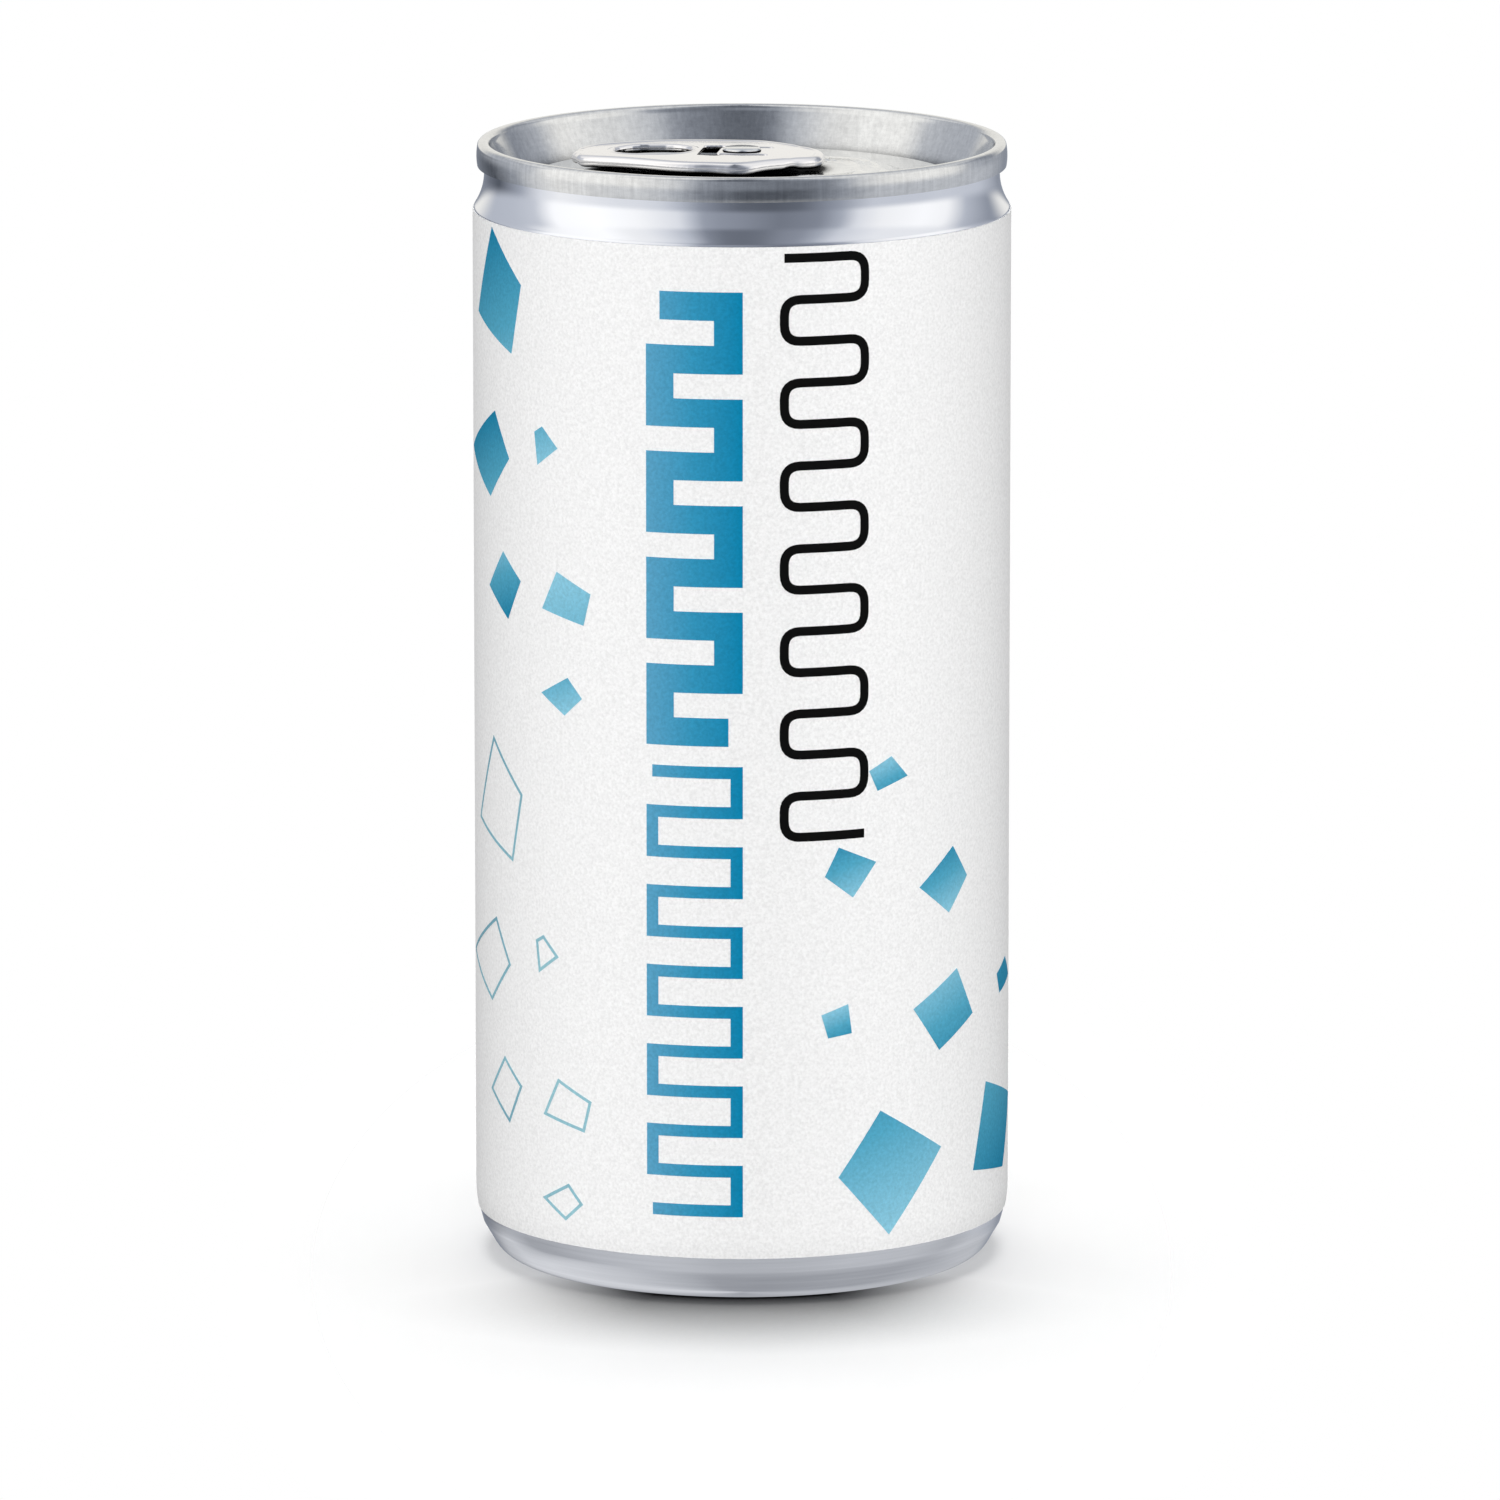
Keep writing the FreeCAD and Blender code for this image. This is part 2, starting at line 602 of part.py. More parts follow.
def make_label():
    """The printed sleeve, which follows the wall and turns in over the chime."""
    body = new_body("label")
    sketch = new_sketch(body, "sleeve_profile", "XZ_Plane")
    gauge = cell("sleeve_gauge")
    turn_in = cell("sleeve_turn_in")
    foot = f"{cell('wall_foot')} - {turn_in}"
    outer_arc = f"({CHIME_ARC} + {gauge})"
    inner_foot = f"{WALL} - {CHIME_ARC} + sqrt({CHIME_ARC}^2 - {turn_in}^2)"
    outer_foot = f"{WALL} - {CHIME_ARC} + sqrt({outer_arc}^2 - {turn_in}^2)"
    corners = [
        ("foot_in", inner_foot, foot, None, 0),
        ("foot_out", outer_foot, foot, outer_arc, 1),
        ("wall_foot_out", f"{WALL} + {gauge}", cell("wall_foot"), None, 0),
        ("top_out", f"{WALL} + {gauge}", SHOULDER, None, 0),
        ("top_in", WALL, SHOULDER, None, 0),
        ("wall_foot_in", WALL, cell("wall_foot"), CHIME_ARC, -1),
    ]
    draw_profile(sketch, corners)
    revolve(body, sketch, "turned_sleeve")
    return body


def check(bodies):
    """Stops the build if anything failed to compute."""
    for item in doc.Objects:
        if {"Invalid", "Error"} & set(item.State):
            raise RuntimeError(f"{item.Name} failed: {item.State}")
    for body in bodies:
        if body.Shape.isNull() or not body.Shape.isValid():
            raise RuntimeError(f"{body.Label} has no valid shape")
        if len(body.Shape.Solids) != 1:
            raise RuntimeError(f"{body.Label} has {len(body.Shape.Solids)} solids")


bodies = [make_can_body(), make_can_end(), make_pull_tab(), make_label()]
doc.recompute()
check(bodies)
os.makedirs("parts", exist_ok=True)
for body in bodies:
    body.Shape.exportStep(os.path.join("parts", f"{body.Label}.step"))
    box = body.Shape.BoundBox
    print(f"{body.Label}: {body.Shape.Volume:.1f} mm3, z {box.ZMin:.2f} to {box.ZMax:.2f}")
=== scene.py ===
# %% [markdown]
# # A slim 200 ml drinks can
# The can is drawn from one disc of aluminium, so its wall, neck and base are one piece.
# A stamped end is seamed on at the top, a stay-on tab is riveted to the end, and a white
# printed sleeve covers the wall. Every piece here is turned or bent from those few facts.
# The CAD model is loaded first: it is the frame that says where everything is.

# %% Load the frame
import math

import bpy
from mathutils import Matrix, Vector


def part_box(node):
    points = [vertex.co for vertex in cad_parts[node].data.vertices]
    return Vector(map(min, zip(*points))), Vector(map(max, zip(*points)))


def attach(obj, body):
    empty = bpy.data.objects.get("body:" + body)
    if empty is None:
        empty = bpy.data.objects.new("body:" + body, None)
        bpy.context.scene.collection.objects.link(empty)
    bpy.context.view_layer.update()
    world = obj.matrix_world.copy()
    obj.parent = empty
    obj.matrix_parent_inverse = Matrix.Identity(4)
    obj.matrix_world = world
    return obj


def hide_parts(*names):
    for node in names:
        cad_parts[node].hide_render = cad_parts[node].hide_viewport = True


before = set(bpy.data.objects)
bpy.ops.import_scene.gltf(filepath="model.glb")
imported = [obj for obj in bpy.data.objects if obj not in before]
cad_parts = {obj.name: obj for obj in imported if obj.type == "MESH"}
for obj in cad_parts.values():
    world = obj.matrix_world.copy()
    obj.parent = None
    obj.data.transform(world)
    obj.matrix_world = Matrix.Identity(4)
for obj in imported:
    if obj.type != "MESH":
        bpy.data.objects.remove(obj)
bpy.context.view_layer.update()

MM = 0.001
print("CAD nodes:", sorted(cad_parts))

# %% [markdown]
# ## Sizes
# The large sizes are read from the CAD nodes, so a piece can never drift from its solid. The
# small ones, such as the depth of a groove, are the can maker's own and are named here, in
# millimetres, where the maker would name them.

# %% Sizes of the can
body_low, body_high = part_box("can_body")
end_low, end_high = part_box("can_end")
tab_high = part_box("pull_tab")[1]
sleeve_low, sleeve_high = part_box("label")

TOP = end_high.z / MM
WALL = (body_high.x - body_low.x) / 2 / MM
SEAM_OUT = (end_high.x - end_low.x) / 2 / MM
SLEEVE = (sleeve_high.x - sleeve_low.x) / 2 / MM
SEAM_BOTTOM = body_high.z / MM
SHOULDER = sleeve_high.z / MM
SLEEVE_FOOT = sleeve_low.z / MM
TAB_TOP = tab_high.z / MM
print(f"can {2 * WALL:.1f} mm across and {TOP:.1f} mm high, seam {2 * SEAM_OUT:.1f} mm across")

# %% [markdown]
# ## The camera
# The can is seen from in front and a little above, from more than a metre away with a long
# lens, as packs are usually shown: far enough for a calm outline, near enough that the base
# is seen from more above than the lid. The camera is placed on a circle about a point on the
# can's axis, and aimed at a point just under the middle, so that the can stands a little high.

# %% Camera
CAMERA_ELEVATION = 10.85
CAMERA_DISTANCE = 1.324
CAMERA_LENS = 319.3
AIM_RIGHT = 0.8 * MM
AIM_BELOW_MIDDLE = 5.4 * MM

aim = Vector((AIM_RIGHT, 0, TOP * MM / 2 - AIM_BELOW_MIDDLE))
rise = math.radians(CAMERA_ELEVATION)
back = Vector((0, -math.cos(rise), math.sin(rise))) * CAMERA_DISTANCE
bpy.ops.object.select_all(action="DESELECT")
bpy.ops.object.camera_add(location=aim + back)
camera = bpy.context.object
camera.name = "camera"
camera.rotation_euler = (-back).to_track_quat("-Z", "Y").to_euler()
camera.data.lens = CAMERA_LENS
camera.data.sensor_width = 36.0
camera.data.clip_end = 20.0
bpy.context.scene.camera = camera
print("camera at", tuple(round(v, 3) for v in camera.location))

# %% [markdown]
# ## Helpers for turned pieces
# Almost everything on a can is turned about one axis: a profile swept round once. By hand, one
# point is extruded along the profile and the line is then spun. The profile is written as a few
# straight stretches and arcs, and the arcs are divided finely enough to reflect smoothly.

# %% Profile helpers
WELD = 2e-6


def arc(centre, radius, start, end, steps=12):
    """Points along an arc about a centre, between two angles in degrees."""
    points = []
    for step in range(steps + 1):
        angle = math.radians(start + (end - start) * step / steps)
        points.append((centre[0] + radius * math.cos(angle), centre[1] + radius * math.sin(angle)))
    return points


def line(start, end, steps):
    """Points along a straight stretch, both ends included."""
    points = []
    for step in range(steps + 1):
        share = step / steps
        across = start[0] + (end[0] - start[0]) * share
        points.append((across, start[1] + (end[1] - start[1]) * share))
    return points


def tidy(points):
    """The same profile without points that repeat the one before."""
    kept = [points[0]]
    for point in points[1:]:
        if math.dist(point, kept[-1]) > 1e-4:
            kept.append(point)
    return kept


# %% Spin a profile into a piece
def turned(name, points, steps=192):
    """A new object: a profile of (radius, height) in millimetres, spun once about the Z axis."""
    points = tidy(points)
    bpy.ops.object.select_all(action="DESELECT")
    bpy.ops.mesh.primitive_plane_add(size=MM)
    piece = bpy.context.object
    piece.name = name
    bpy.ops.object.mode_set(mode="EDIT")
    bpy.ops.mesh.select_all(action="SELECT")
    bpy.ops.mesh.merge(type="CENTER")
    first = Vector((points[0][0], 0, points[0][1])) * MM
    bpy.ops.transform.translate(value=first)
    for before, after in zip(points, points[1:]):
        step = Vector((after[0] - before[0], 0, after[1] - before[1])) * MM
        bpy.ops.mesh.extrude_region_move(TRANSFORM_OT_translate={"value": step})
    bpy.ops.mesh.select_all(action="SELECT")
    bpy.ops.mesh.spin(steps=steps, angle=2 * math.pi, center=(0, 0, 0), axis=(0, 0, 1))
    bpy.ops.mesh.select_all(action="SELECT")
    bpy.ops.mesh.remove_doubles(threshold=WELD)
    bpy.ops.mesh.normals_make_consistent(inside=False)
    bpy.ops.object.mode_set(mode="OBJECT")
    bpy.ops.object.shade_smooth_by_angle(angle=math.radians(40))
    print(f"{name}: {len(points)} points in profile, {len(piece.data.polygons)} faces")
    return piece


def settle(piece, node):
    """Puts a finished piece in the place of a CAD node, riding on the can."""
    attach(piece, "root")
    if node:
        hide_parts(node)


# %% [markdown]
# ## The body
# The base is the strongest part of a can: a standing bead, a dome pressed up inside it, a short
# cone and a rounded chime outside it. At the top the wall turns in with a small round, and a
# long hollow curve carries it up to the neck. The body is one closed piece, and its top follows
# the underside of the end.

# %% Body profile
STAND = 22.4
STAND_FLAT = 0.25
BEAD = 2.5
BEAD_SWEEP = 60.0
CHIME_STEP = 0.6
CHIME_HEIGHT = 3.1
WALL_FOOT = 7.0
INNER_BEAD = 1.4
DOME_EDGE = 3.6
DOME_HEIGHT = 9.2
NECK_STEP = 1.05
SHOULDER_RISE = 3.6
SHOULDER_ROUND = 0.7
NECK = WALL - NECK_STEP

leg = STAND - STAND_FLAT - INNER_BEAD
crown = DOME_HEIGHT - DOME_EDGE
dome_radius = (leg**2 + crown**2) / (2 * crown)
dome_centre = DOME_HEIGHT - dome_radius
dome_angle = math.degrees(math.asin(leg / dome_radius))
chime_run = WALL_FOOT - CHIME_HEIGHT
chime_radius = (CHIME_STEP**2 + chime_run**2) / (2 * CHIME_STEP)
both_rounds = (NECK_STEP**2 + SHOULDER_RISE**2) / (2 * NECK_STEP)
neck_radius = both_rounds - SHOULDER_ROUND
neck_angle = math.degrees(math.asin(SHOULDER_RISE / both_rounds))


def chime_arc(offset, low, steps):
    """The rounded turn from the chime up to the straight wall, offset outwards."""
    centre = (WALL - chime_radius, WALL_FOOT)
    start = -math.degrees(math.asin((WALL_FOOT - low) / (chime_radius + offset)))
    return arc(centre, chime_radius + offset, start, 0, steps)


base_profile = (
    arc((0, dome_centre), dome_radius, 90, 90 - dome_angle, 24)
    + line((leg, DOME_EDGE), (leg, INNER_BEAD), 3)
    + arc((STAND - STAND_FLAT, INNER_BEAD), INNER_BEAD, 180, 270, 12)
    + arc((STAND + STAND_FLAT, BEAD), BEAD, -90, -90 + BEAD_SWEEP, 14)
    + chime_arc(0, CHIME_HEIGHT, 10)
)
neck_profile = (
    line((WALL, WALL_FOOT), (WALL, SHOULDER), 20)
    + arc((WALL - SHOULDER_ROUND, SHOULDER), SHOULDER_ROUND, 0, neck_angle, 8)
    + arc((NECK + neck_radius, SHOULDER + SHOULDER_RISE), neck_radius, 180 + neck_angle, 180, 16)
    + line((NECK, SHOULDER + SHOULDER_RISE), (NECK, SEAM_BOTTOM), 2)
)
print(f"dome radius {dome_radius:.1f} mm, chime radius {chime_radius:.1f} mm")

# %% [markdown]
# ## The end
# The stamped end starts at the double seam, runs down the sloping chuck wall into the
# countersink groove, and comes up again to the panel. The panel carries a shallow plateau, made
# by the pressure of the drink and the shape of the die. Its underside is the same profile one
# sheet lower, and the body's top follows it, so the two pieces seat on each other.

# %% End profile
SEAM_WIDTH = 1.3
SEAM_ROUND = 0.5
GAUGE = 0.25
CHUCK_DRAFT = 0.85
CHUCK_RUN = 1.6
GROOVE_DEPTH = 6.35
GROOVE = 0.5
PANEL_DEPTH = 3.75
PANEL_ROUND = 0.4
PANEL_RIM = 4.2
PLATEAU_SLOPE = 3.6
PLATEAU_DEPTH = 2.85

SEAM_IN = SEAM_OUT - SEAM_WIDTH
CHUCK_TOP = SEAM_IN - CHUCK_DRAFT
CHUCK_FOOT = CHUCK_TOP - CHUCK_RUN
GROOVE_LEVEL = TOP - GROOVE_DEPTH + GROOVE
PANEL_RADIUS = CHUCK_FOOT - 2 * GROOVE
PANEL = TOP - PANEL_DEPTH
SLOPE_FOOT = PANEL_RADIUS - PANEL_RIM
PLATEAU_RADIUS = SLOPE_FOOT - PLATEAU_SLOPE
PLATEAU = TOP - PLATEAU_DEPTH


def panel_profile(lower, inner_radius, rings):
    """From the chuck wall's foot to the plateau; lower is one sheet down for the underside."""
    middle = (CHUCK_FOOT + PANEL_RADIUS) / 2
    step = PLATEAU - PANEL
    slope_radius = (step**2 + PLATEAU_SLOPE**2) / (4 * step)
    slope_angle = math.degrees(math.asin(PLATEAU_SLOPE / 2 / slope_radius))
    corner = PANEL_ROUND - lower
    wall = PANEL_RADIUS - lower
    points = arc((middle, GROOVE_LEVEL), GROOVE + lower, 0, -180, 16)
    points += line((wall, GROOVE_LEVEL), (wall, PANEL - PANEL_ROUND), 3)
    points += arc((PANEL_RADIUS - PANEL_ROUND, PANEL - PANEL_ROUND), corner, 0, 90, 8)
    points += line((PANEL_RADIUS - PANEL_ROUND, PANEL - lower), (SLOPE_FOOT, PANEL - lower), rings)
    low_centre = (SLOPE_FOOT, PANEL + slope_radius - lower)
    points += arc(low_centre, slope_radius, -90, -90 - slope_angle, rings)
    high_centre = (PLATEAU_RADIUS, PLATEAU - slope_radius - lower)
    points += arc(high_centre, slope_radius, 90 - slope_angle, 90, rings)
    points += line((PLATEAU_RADIUS, PLATEAU - lower), (inner_radius, PLATEAU - lower), rings)
    return points


underside = [(CHUCK_TOP + GAUGE, SEAM_BOTTOM)] + panel_profile(GAUGE, 0.0, 4)
print(f"panel {2 * PANEL_RADIUS:.1f} mm across, {PANEL_DEPTH} mm under the rim")

# %% Turn the body
shell = turned("can_shell", base_profile + neck_profile + underside)
settle(shell, "can_body")

# %% [markdown]
# ## The end's top side, with its rivet
# The rivet is drawn up out of the same sheet: a shoulder that the tab sits on, a shank through
# the tab and a flattened head. The seam's outside is not quite straight: the seaming rolls leave
# it a little fuller in the middle and rounder at the top. The panel is divided into fine rings,
# because the next step presses its bead and its score into it.

# %% Turn the end
RIVET_HEAD = 1.9
RIVET_SHANK = 1.3
RIVET_RISE = 0.3
RIVET_BEVEL = 0.1
WEB_DROP = 0.15
WEB = 0.4
SEAM_CROWN = 0.08
web_top = TAB_TOP - WEB_DROP
web_foot = web_top - WEB
head_top = web_top + RIVET_RISE

seam_straight = TOP - SEAM_ROUND - SEAM_BOTTOM
seam_side = []
for step in range(11):
    share = step / 10
    hollow = SEAM_CROWN * (1 - 4 * share * (1 - share))
    seam_side.append((SEAM_OUT - hollow, SEAM_BOTTOM + share * seam_straight))

rivet_profile = [
    (RIVET_HEAD, PLATEAU),
    (RIVET_HEAD, web_foot),
    (RIVET_SHANK, web_foot),
    (RIVET_SHANK, web_top),
    (RIVET_HEAD - RIVET_BEVEL, web_top),
    (RIVET_HEAD, web_top + RIVET_BEVEL),
    (RIVET_HEAD - RIVET_BEVEL / 2, head_top - RIVET_BEVEL),
    (RIVET_HEAD - 2 * RIVET_BEVEL, head_top),
    (0.0, head_top + RIVET_BEVEL / 4),
]
end_profile = (
    [(0.0, PLATEAU - GAUGE)]
    + underside[::-1]
    + line((CHUCK_TOP + GAUGE, SEAM_BOTTOM), (SEAM_OUT - SEAM_CROWN, SEAM_BOTTOM), 3)
    + seam_side
    + arc((SEAM_OUT - SEAM_CROWN - SEAM_ROUND, TOP - SEAM_ROUND), SEAM_ROUND, 0, 90, 8)
    + arc((SEAM_IN + SEAM_ROUND, TOP - SEAM_ROUND), SEAM_ROUND, 90, 180, 8)
    + line((SEAM_IN, TOP - SEAM_ROUND), (CHUCK_TOP, SEAM_BOTTOM), 6)
    + line((CHUCK_TOP, SEAM_BOTTOM), (CHUCK_FOOT, GROOVE_LEVEL), 10)
    + panel_profile(0.0, RIVET_HEAD, 26)
    + rivet_profile
)
end_plate = turned("can_end_plate", end_profile, steps=320)
settle(end_plate, "can_end")

# %% [markdown]
# ## Press the tear panel's bead and score
# The tear panel is a rounded outline in front of the rivet. A fine score runs round it, and a
# low bead inside it keeps it stiff. Both are pressed into the fine rings of the panel by lifting
# or lowering each point by its distance from the outline. A ring of small numbers does the work:
# how far a point is from a rounded rectangle, which is less than zero inside.

# %% Press the bead and score
TEAR_BACK = -1.5
TEAR_FRONT = 13.2
TEAR_HALF = 7.5
TEAR_ROUND = 5.6
SCORE_WIDTH = 0.35
SCORE_DEPTH = 0.12
BEAD_IN = 1.75
BEAD_HALF = 0.55
BEAD_RISE = 0.22
RIVET_CLEAR = 0.2


def ring_distance(x, y):
    """How far a point in millimetres lies outside the tear panel's rounded outline."""
    middle = (TEAR_BACK + TEAR_FRONT) / 2
    half_long = (TEAR_FRONT - TEAR_BACK) / 2 - TEAR_ROUND
    past_x = abs(x - middle) - half_long
    past_y = abs(y) - (TEAR_HALF - TEAR_ROUND)
    outside = math.hypot(max(past_x, 0), max(past_y, 0))
    return outside + min(max(past_x, past_y), 0) - TEAR_ROUND


def hump(distance, half_width):
    """A smooth hill, 1 at distance 0 and 0 from half_width outwards."""
    if abs(distance) >= half_width:
        return 0.0
    return (1 + math.cos(math.pi * distance / half_width)) / 2


pressed = 0
for vertex in end_plate.data.vertices:
    x, y, z = vertex.co / MM
    if abs(z - PLATEAU) > GAUGE / 2 or math.hypot(x, y) < RIVET_HEAD + RIVET_CLEAR:
        continue
    distance = ring_distance(x, y)
    lift = BEAD_RISE * hump(distance + BEAD_IN, BEAD_HALF)
    lift -= SCORE_DEPTH * hump(distance, SCORE_WIDTH)
    if lift:
        vertex.co.z += lift * MM
        pressed += 1
print(f"{pressed} points pressed for the bead and the score")

# %% [markdown]
# ## The stay-on tab
# A tab is blanked from strip, its edge is curled under into a tube, and it is pierced with a
# finger hole and a slot that leaves a small island round the rivet. It is drawn here as by hand:
# a flat outline with its holes is filled and raised, tubes are laid along the edge and the
# finger hole, and all of it is fused and softened, so that the web flows into the curl as
# pressed metal does.

# %% Outline helpers
def rounded(corners, steps=8):
    """A closed outline through corners (x, y, radius), each corner rounded by its radius."""
    points = []
    count = len(corners)
    for index, (x, y, radius) in enumerate(corners):
        here = Vector((x, y))
        before = (Vector(corners[index - 1][:2]) - here).normalized()
        after = (Vector(corners[(index + 1) % count][:2]) - here).normalized()
        opening = before.angle(after)
        reach = radius / math.tan(opening / 2)
        centre = here + (before + after).normalized() * radius / math.sin(opening / 2)
        first = here + before * reach - centre
        turn = before.cross(after)
        sweep = (math.pi - opening) * (1 if turn < 0 else -1)
        for step in range(steps + 1):
            spoke = first.copy()
            spoke.rotate(Matrix.Rotation(sweep * step / steps, 2))
            points.append(tuple(centre + spoke))
    return points


def spaced(points, gap):
    """The same closed outline with extra points, so that none is further on than the gap."""
    dense = []
    for index, point in enumerate(points):
        following = points[(index + 1) % len(points)]
        parts = max(1, math.ceil(math.dist(point, following) / gap))
        for part in range(parts):
            share = part / parts
            dense.append(tuple(a + (b - a) * share for a, b in zip(point, following)))
    return dense


def ring(name, points, height, filled=False):
    """A closed ring of edges, or a filled face, moved to an outline given in millimetres."""
    bpy.ops.object.select_all(action="DESELECT")
    fill = "NGON" if filled else "NOTHING"
    bpy.ops.mesh.primitive_circle_add(vertices=len(points), radius=MM, fill_type=fill)
    piece = bpy.context.object
    piece.name = name
    for vertex, (x, y) in zip(piece.data.vertices, points):
        vertex.co = Vector((x, y, height)) * MM
    return piece


def tube(name, points, height, radius, swell=None):
    """A round tube along a closed outline; where swell makes it fuller it hangs lower."""
    piece = ring(name, points, height)
    bpy.ops.object.convert(target="CURVE")
    piece.data.bevel_depth = radius * MM
    piece.data.bevel_resolution = 5
    for spline in piece.data.splines:
        for point in spline.points:
            x, y, z = point.co.xyz / MM
            share = swell(x, y) if swell else 1.0
            point.radius = share
            point.co[2] -= max(0, share - 1) * radius * MM
    bpy.ops.object.convert(target="MESH")
    return piece


def slot_outline(centre, half_length, half_width, steps=12):
    """A slot with half-round ends along X."""
    straight = half_length - half_width
    right = arc((centre + straight, 0), half_width, -90, 90, steps)
    left = arc((centre - straight, 0), half_width, 90, 270, steps)
    return right + left


# %% Tab outline
CURL = 0.55
TAB_TURN = -7.0
FINGER_REACH = 16.8
NOSE_REACH = 8.1
TAB_HALF = 8.2
END_HALF = 3.3
NOSE_HALF = 2.2
BACK_CORNER = -5.4
FRONT_CORNER = 0.9
END_ROUND = 3.8
LONG_ROUND = 12.0
NOSE_ROUND = 3.2

tab_outline = rounded([
    (-(FINGER_REACH - CURL), END_HALF, END_ROUND),
    (-(FINGER_REACH - CURL), -END_HALF, END_ROUND),
    (BACK_CORNER, -(TAB_HALF - CURL), LONG_ROUND),
    (FRONT_CORNER, -(TAB_HALF - CURL), NOSE_ROUND),
    (NOSE_REACH - CURL, -NOSE_HALF, NOSE_ROUND),
    (NOSE_REACH - CURL, NOSE_HALF, NOSE_ROUND),
    (FRONT_CORNER, TAB_HALF - CURL, NOSE_ROUND),
    (BACK_CORNER, TAB_HALF - CURL, LONG_ROUND),
])
LIP = 0.4
HOLE_CENTRE = -8.8
HOLE_HALF_LENGTH = 3.9
HOLE_HALF_WIDTH = 3.0
hole_outline = slot_outline(HOLE_CENTRE, HOLE_HALF_LENGTH + LIP, HOLE_HALF_WIDTH + LIP)
SLOT = [
    (2.8, -2.1), (-2.3, -2.1), (-2.3, 2.1), (2.8, 2.1), (2.8, 2.9), (-1.5, 2.9),
    (-2.3, 3.5), (-4.1, 3.1), (-4.1, -3.1), (-2.3, -3.5), (-1.5, -2.9), (2.8, -2.9),
]
SLOT_ROUND = 0.3
BORE_GAP = 0.1
BORE_POINTS = 48
cut_outline = rounded([(x, y, SLOT_ROUND) for x, y in SLOT], steps=4)
last_angle = 360 - 360 / BORE_POINTS
bore_outline = arc((0, 0), RIVET_SHANK + BORE_GAP, 0, last_angle, BORE_POINTS - 1)
print(f"tab outline {len(tab_outline)} points, slot {len(cut_outline)} points")

# %% Blank and pierce the tab
WEB_GAP = 0.5
web = ring("pull_tab_skin", spaced(tab_outline, WEB_GAP), web_foot)
holes = [
    ring("finger_hole", hole_outline, web_foot),
    ring("slot", cut_outline, web_foot),
    ring("rivet_hole", bore_outline, web_foot),
]
for hole in holes:
    hole.select_set(True)
web.select_set(True)
bpy.context.view_layer.objects.active = web
bpy.ops.object.join()
bpy.ops.object.mode_set(mode="EDIT")
bpy.ops.mesh.select_all(action="SELECT")
bpy.ops.mesh.fill(use_beauty=True)
bpy.ops.mesh.select_all(action="SELECT")
bpy.ops.mesh.extrude_region_move(TRANSFORM_OT_translate={"value": (0, 0, WEB * MM)})
bpy.ops.mesh.select_all(action="SELECT")
bpy.ops.mesh.normals_make_consistent(inside=False)
bpy.ops.object.mode_set(mode="OBJECT")
print(f"web: {len(web.data.polygons)} faces")

# %% [markdown]
# ## Curl the edge and roll the lip
# The curl is a tube along the outline. The metal gathers where the outline is tightest, so the
# tube is a little uneven round the finger end and pinched at the corners of the nose. The
# finger hole has a smaller rolled lip that stands just proud of the web. In the next step both
# ends are bent down a little, the nose over the tear panel and the finger end with a droop, and
# both long sides sag by a quarter of a millimetre.

# %% Curl and lip
CURL_LEVEL = TAB_TOP - CURL
CURL_GAP = 0.35
LIP_RISE = 0.1
FULLNESS = 1.15
FAR_FULLNESS = 0.15
CORNER_FULLNESS = 0.22
NOSE_PINCH = 0.25
NOSE_CORNER = (5.4, 4.2)
PLEAT_DEPTH = 0.42
PLEATS = 17
PLEAT_CENTRE = -8.0
PLEAT_SPAN = 0.8
NOSE_SPAN = 1.2
CORNER_SPAN = 3.5
FAR_SPAN = 2.5


def gathers(x, y):
    """The curl's share of its full radius at a place on the outline."""
    along = math.atan2(y, x - PLEAT_CENTRE)
    finger = hump(math.pi - abs(along), PLEAT_SPAN)
    nose = hump(math.hypot(x - NOSE_CORNER[0], abs(y) - NOSE_CORNER[1]), NOSE_SPAN)
    corner = hump(math.hypot(x - FRONT_CORNER, abs(y) - TAB_HALF), CORNER_SPAN)
    far = FAR_FULLNESS * hump(max(0, TAB_HALF - y), FAR_SPAN)
    pleat = PLEAT_DEPTH * finger * (1 + math.sin(PLEATS * along)) / 2
    return FULLNESS + far - pleat - NOSE_PINCH * nose + CORNER_FULLNESS * corner


curl = tube("curl", spaced(tab_outline, CURL_GAP), CURL_LEVEL, CURL, gathers)
lip = tube("lip", spaced(hole_outline, CURL_GAP), web_top + LIP_RISE - LIP, LIP)
print(f"curl: {len(curl.data.polygons)} faces, lip: {len(lip.data.polygons)} faces")

# %% [markdown]
# ## Fuse and bend the tab
# A voxel remesh makes one skin of the web and its tubes, and a few rounds of smoothing let them
# flow together. The bends come last, so that they carry the whole tab, and then the tab is
# turned on its rivet, a few degrees off the square, as a tab is seldom quite in line.

# %% Fuse and bend
VOXEL = 0.1
FINGER_BEND = -7.0
FINGER_DROOP = 0.4
NOSE_BEND = 1.5
NOSE_DROOP = 0.35
SAG = 0.0035

bpy.ops.object.select_all(action="DESELECT")
for part in (web, curl, lip):
    part.select_set(True)
bpy.context.view_layer.objects.active = web
bpy.ops.object.join()
remesh = web.modifiers.new("fuse", "REMESH")
remesh.mode = "VOXEL"
remesh.voxel_size = VOXEL * MM
smooth = web.modifiers.new("soften", "SMOOTH")
smooth.factor = 0.5
smooth.iterations = 6
for modifier in ("fuse", "soften"):
    bpy.ops.object.modifier_apply(modifier=modifier)
bpy.ops.object.shade_smooth()
for vertex in web.data.vertices:
    x = vertex.co.x / MM
    droop = FINGER_DROOP * (max(0, FINGER_BEND - x) / (FINGER_REACH + FINGER_BEND)) ** 2
    droop += NOSE_DROOP * (max(0, x - NOSE_BEND) / (NOSE_REACH - NOSE_BEND)) ** 2
    droop += SAG * (vertex.co.y / MM) ** 2
    vertex.co.z -= droop * MM
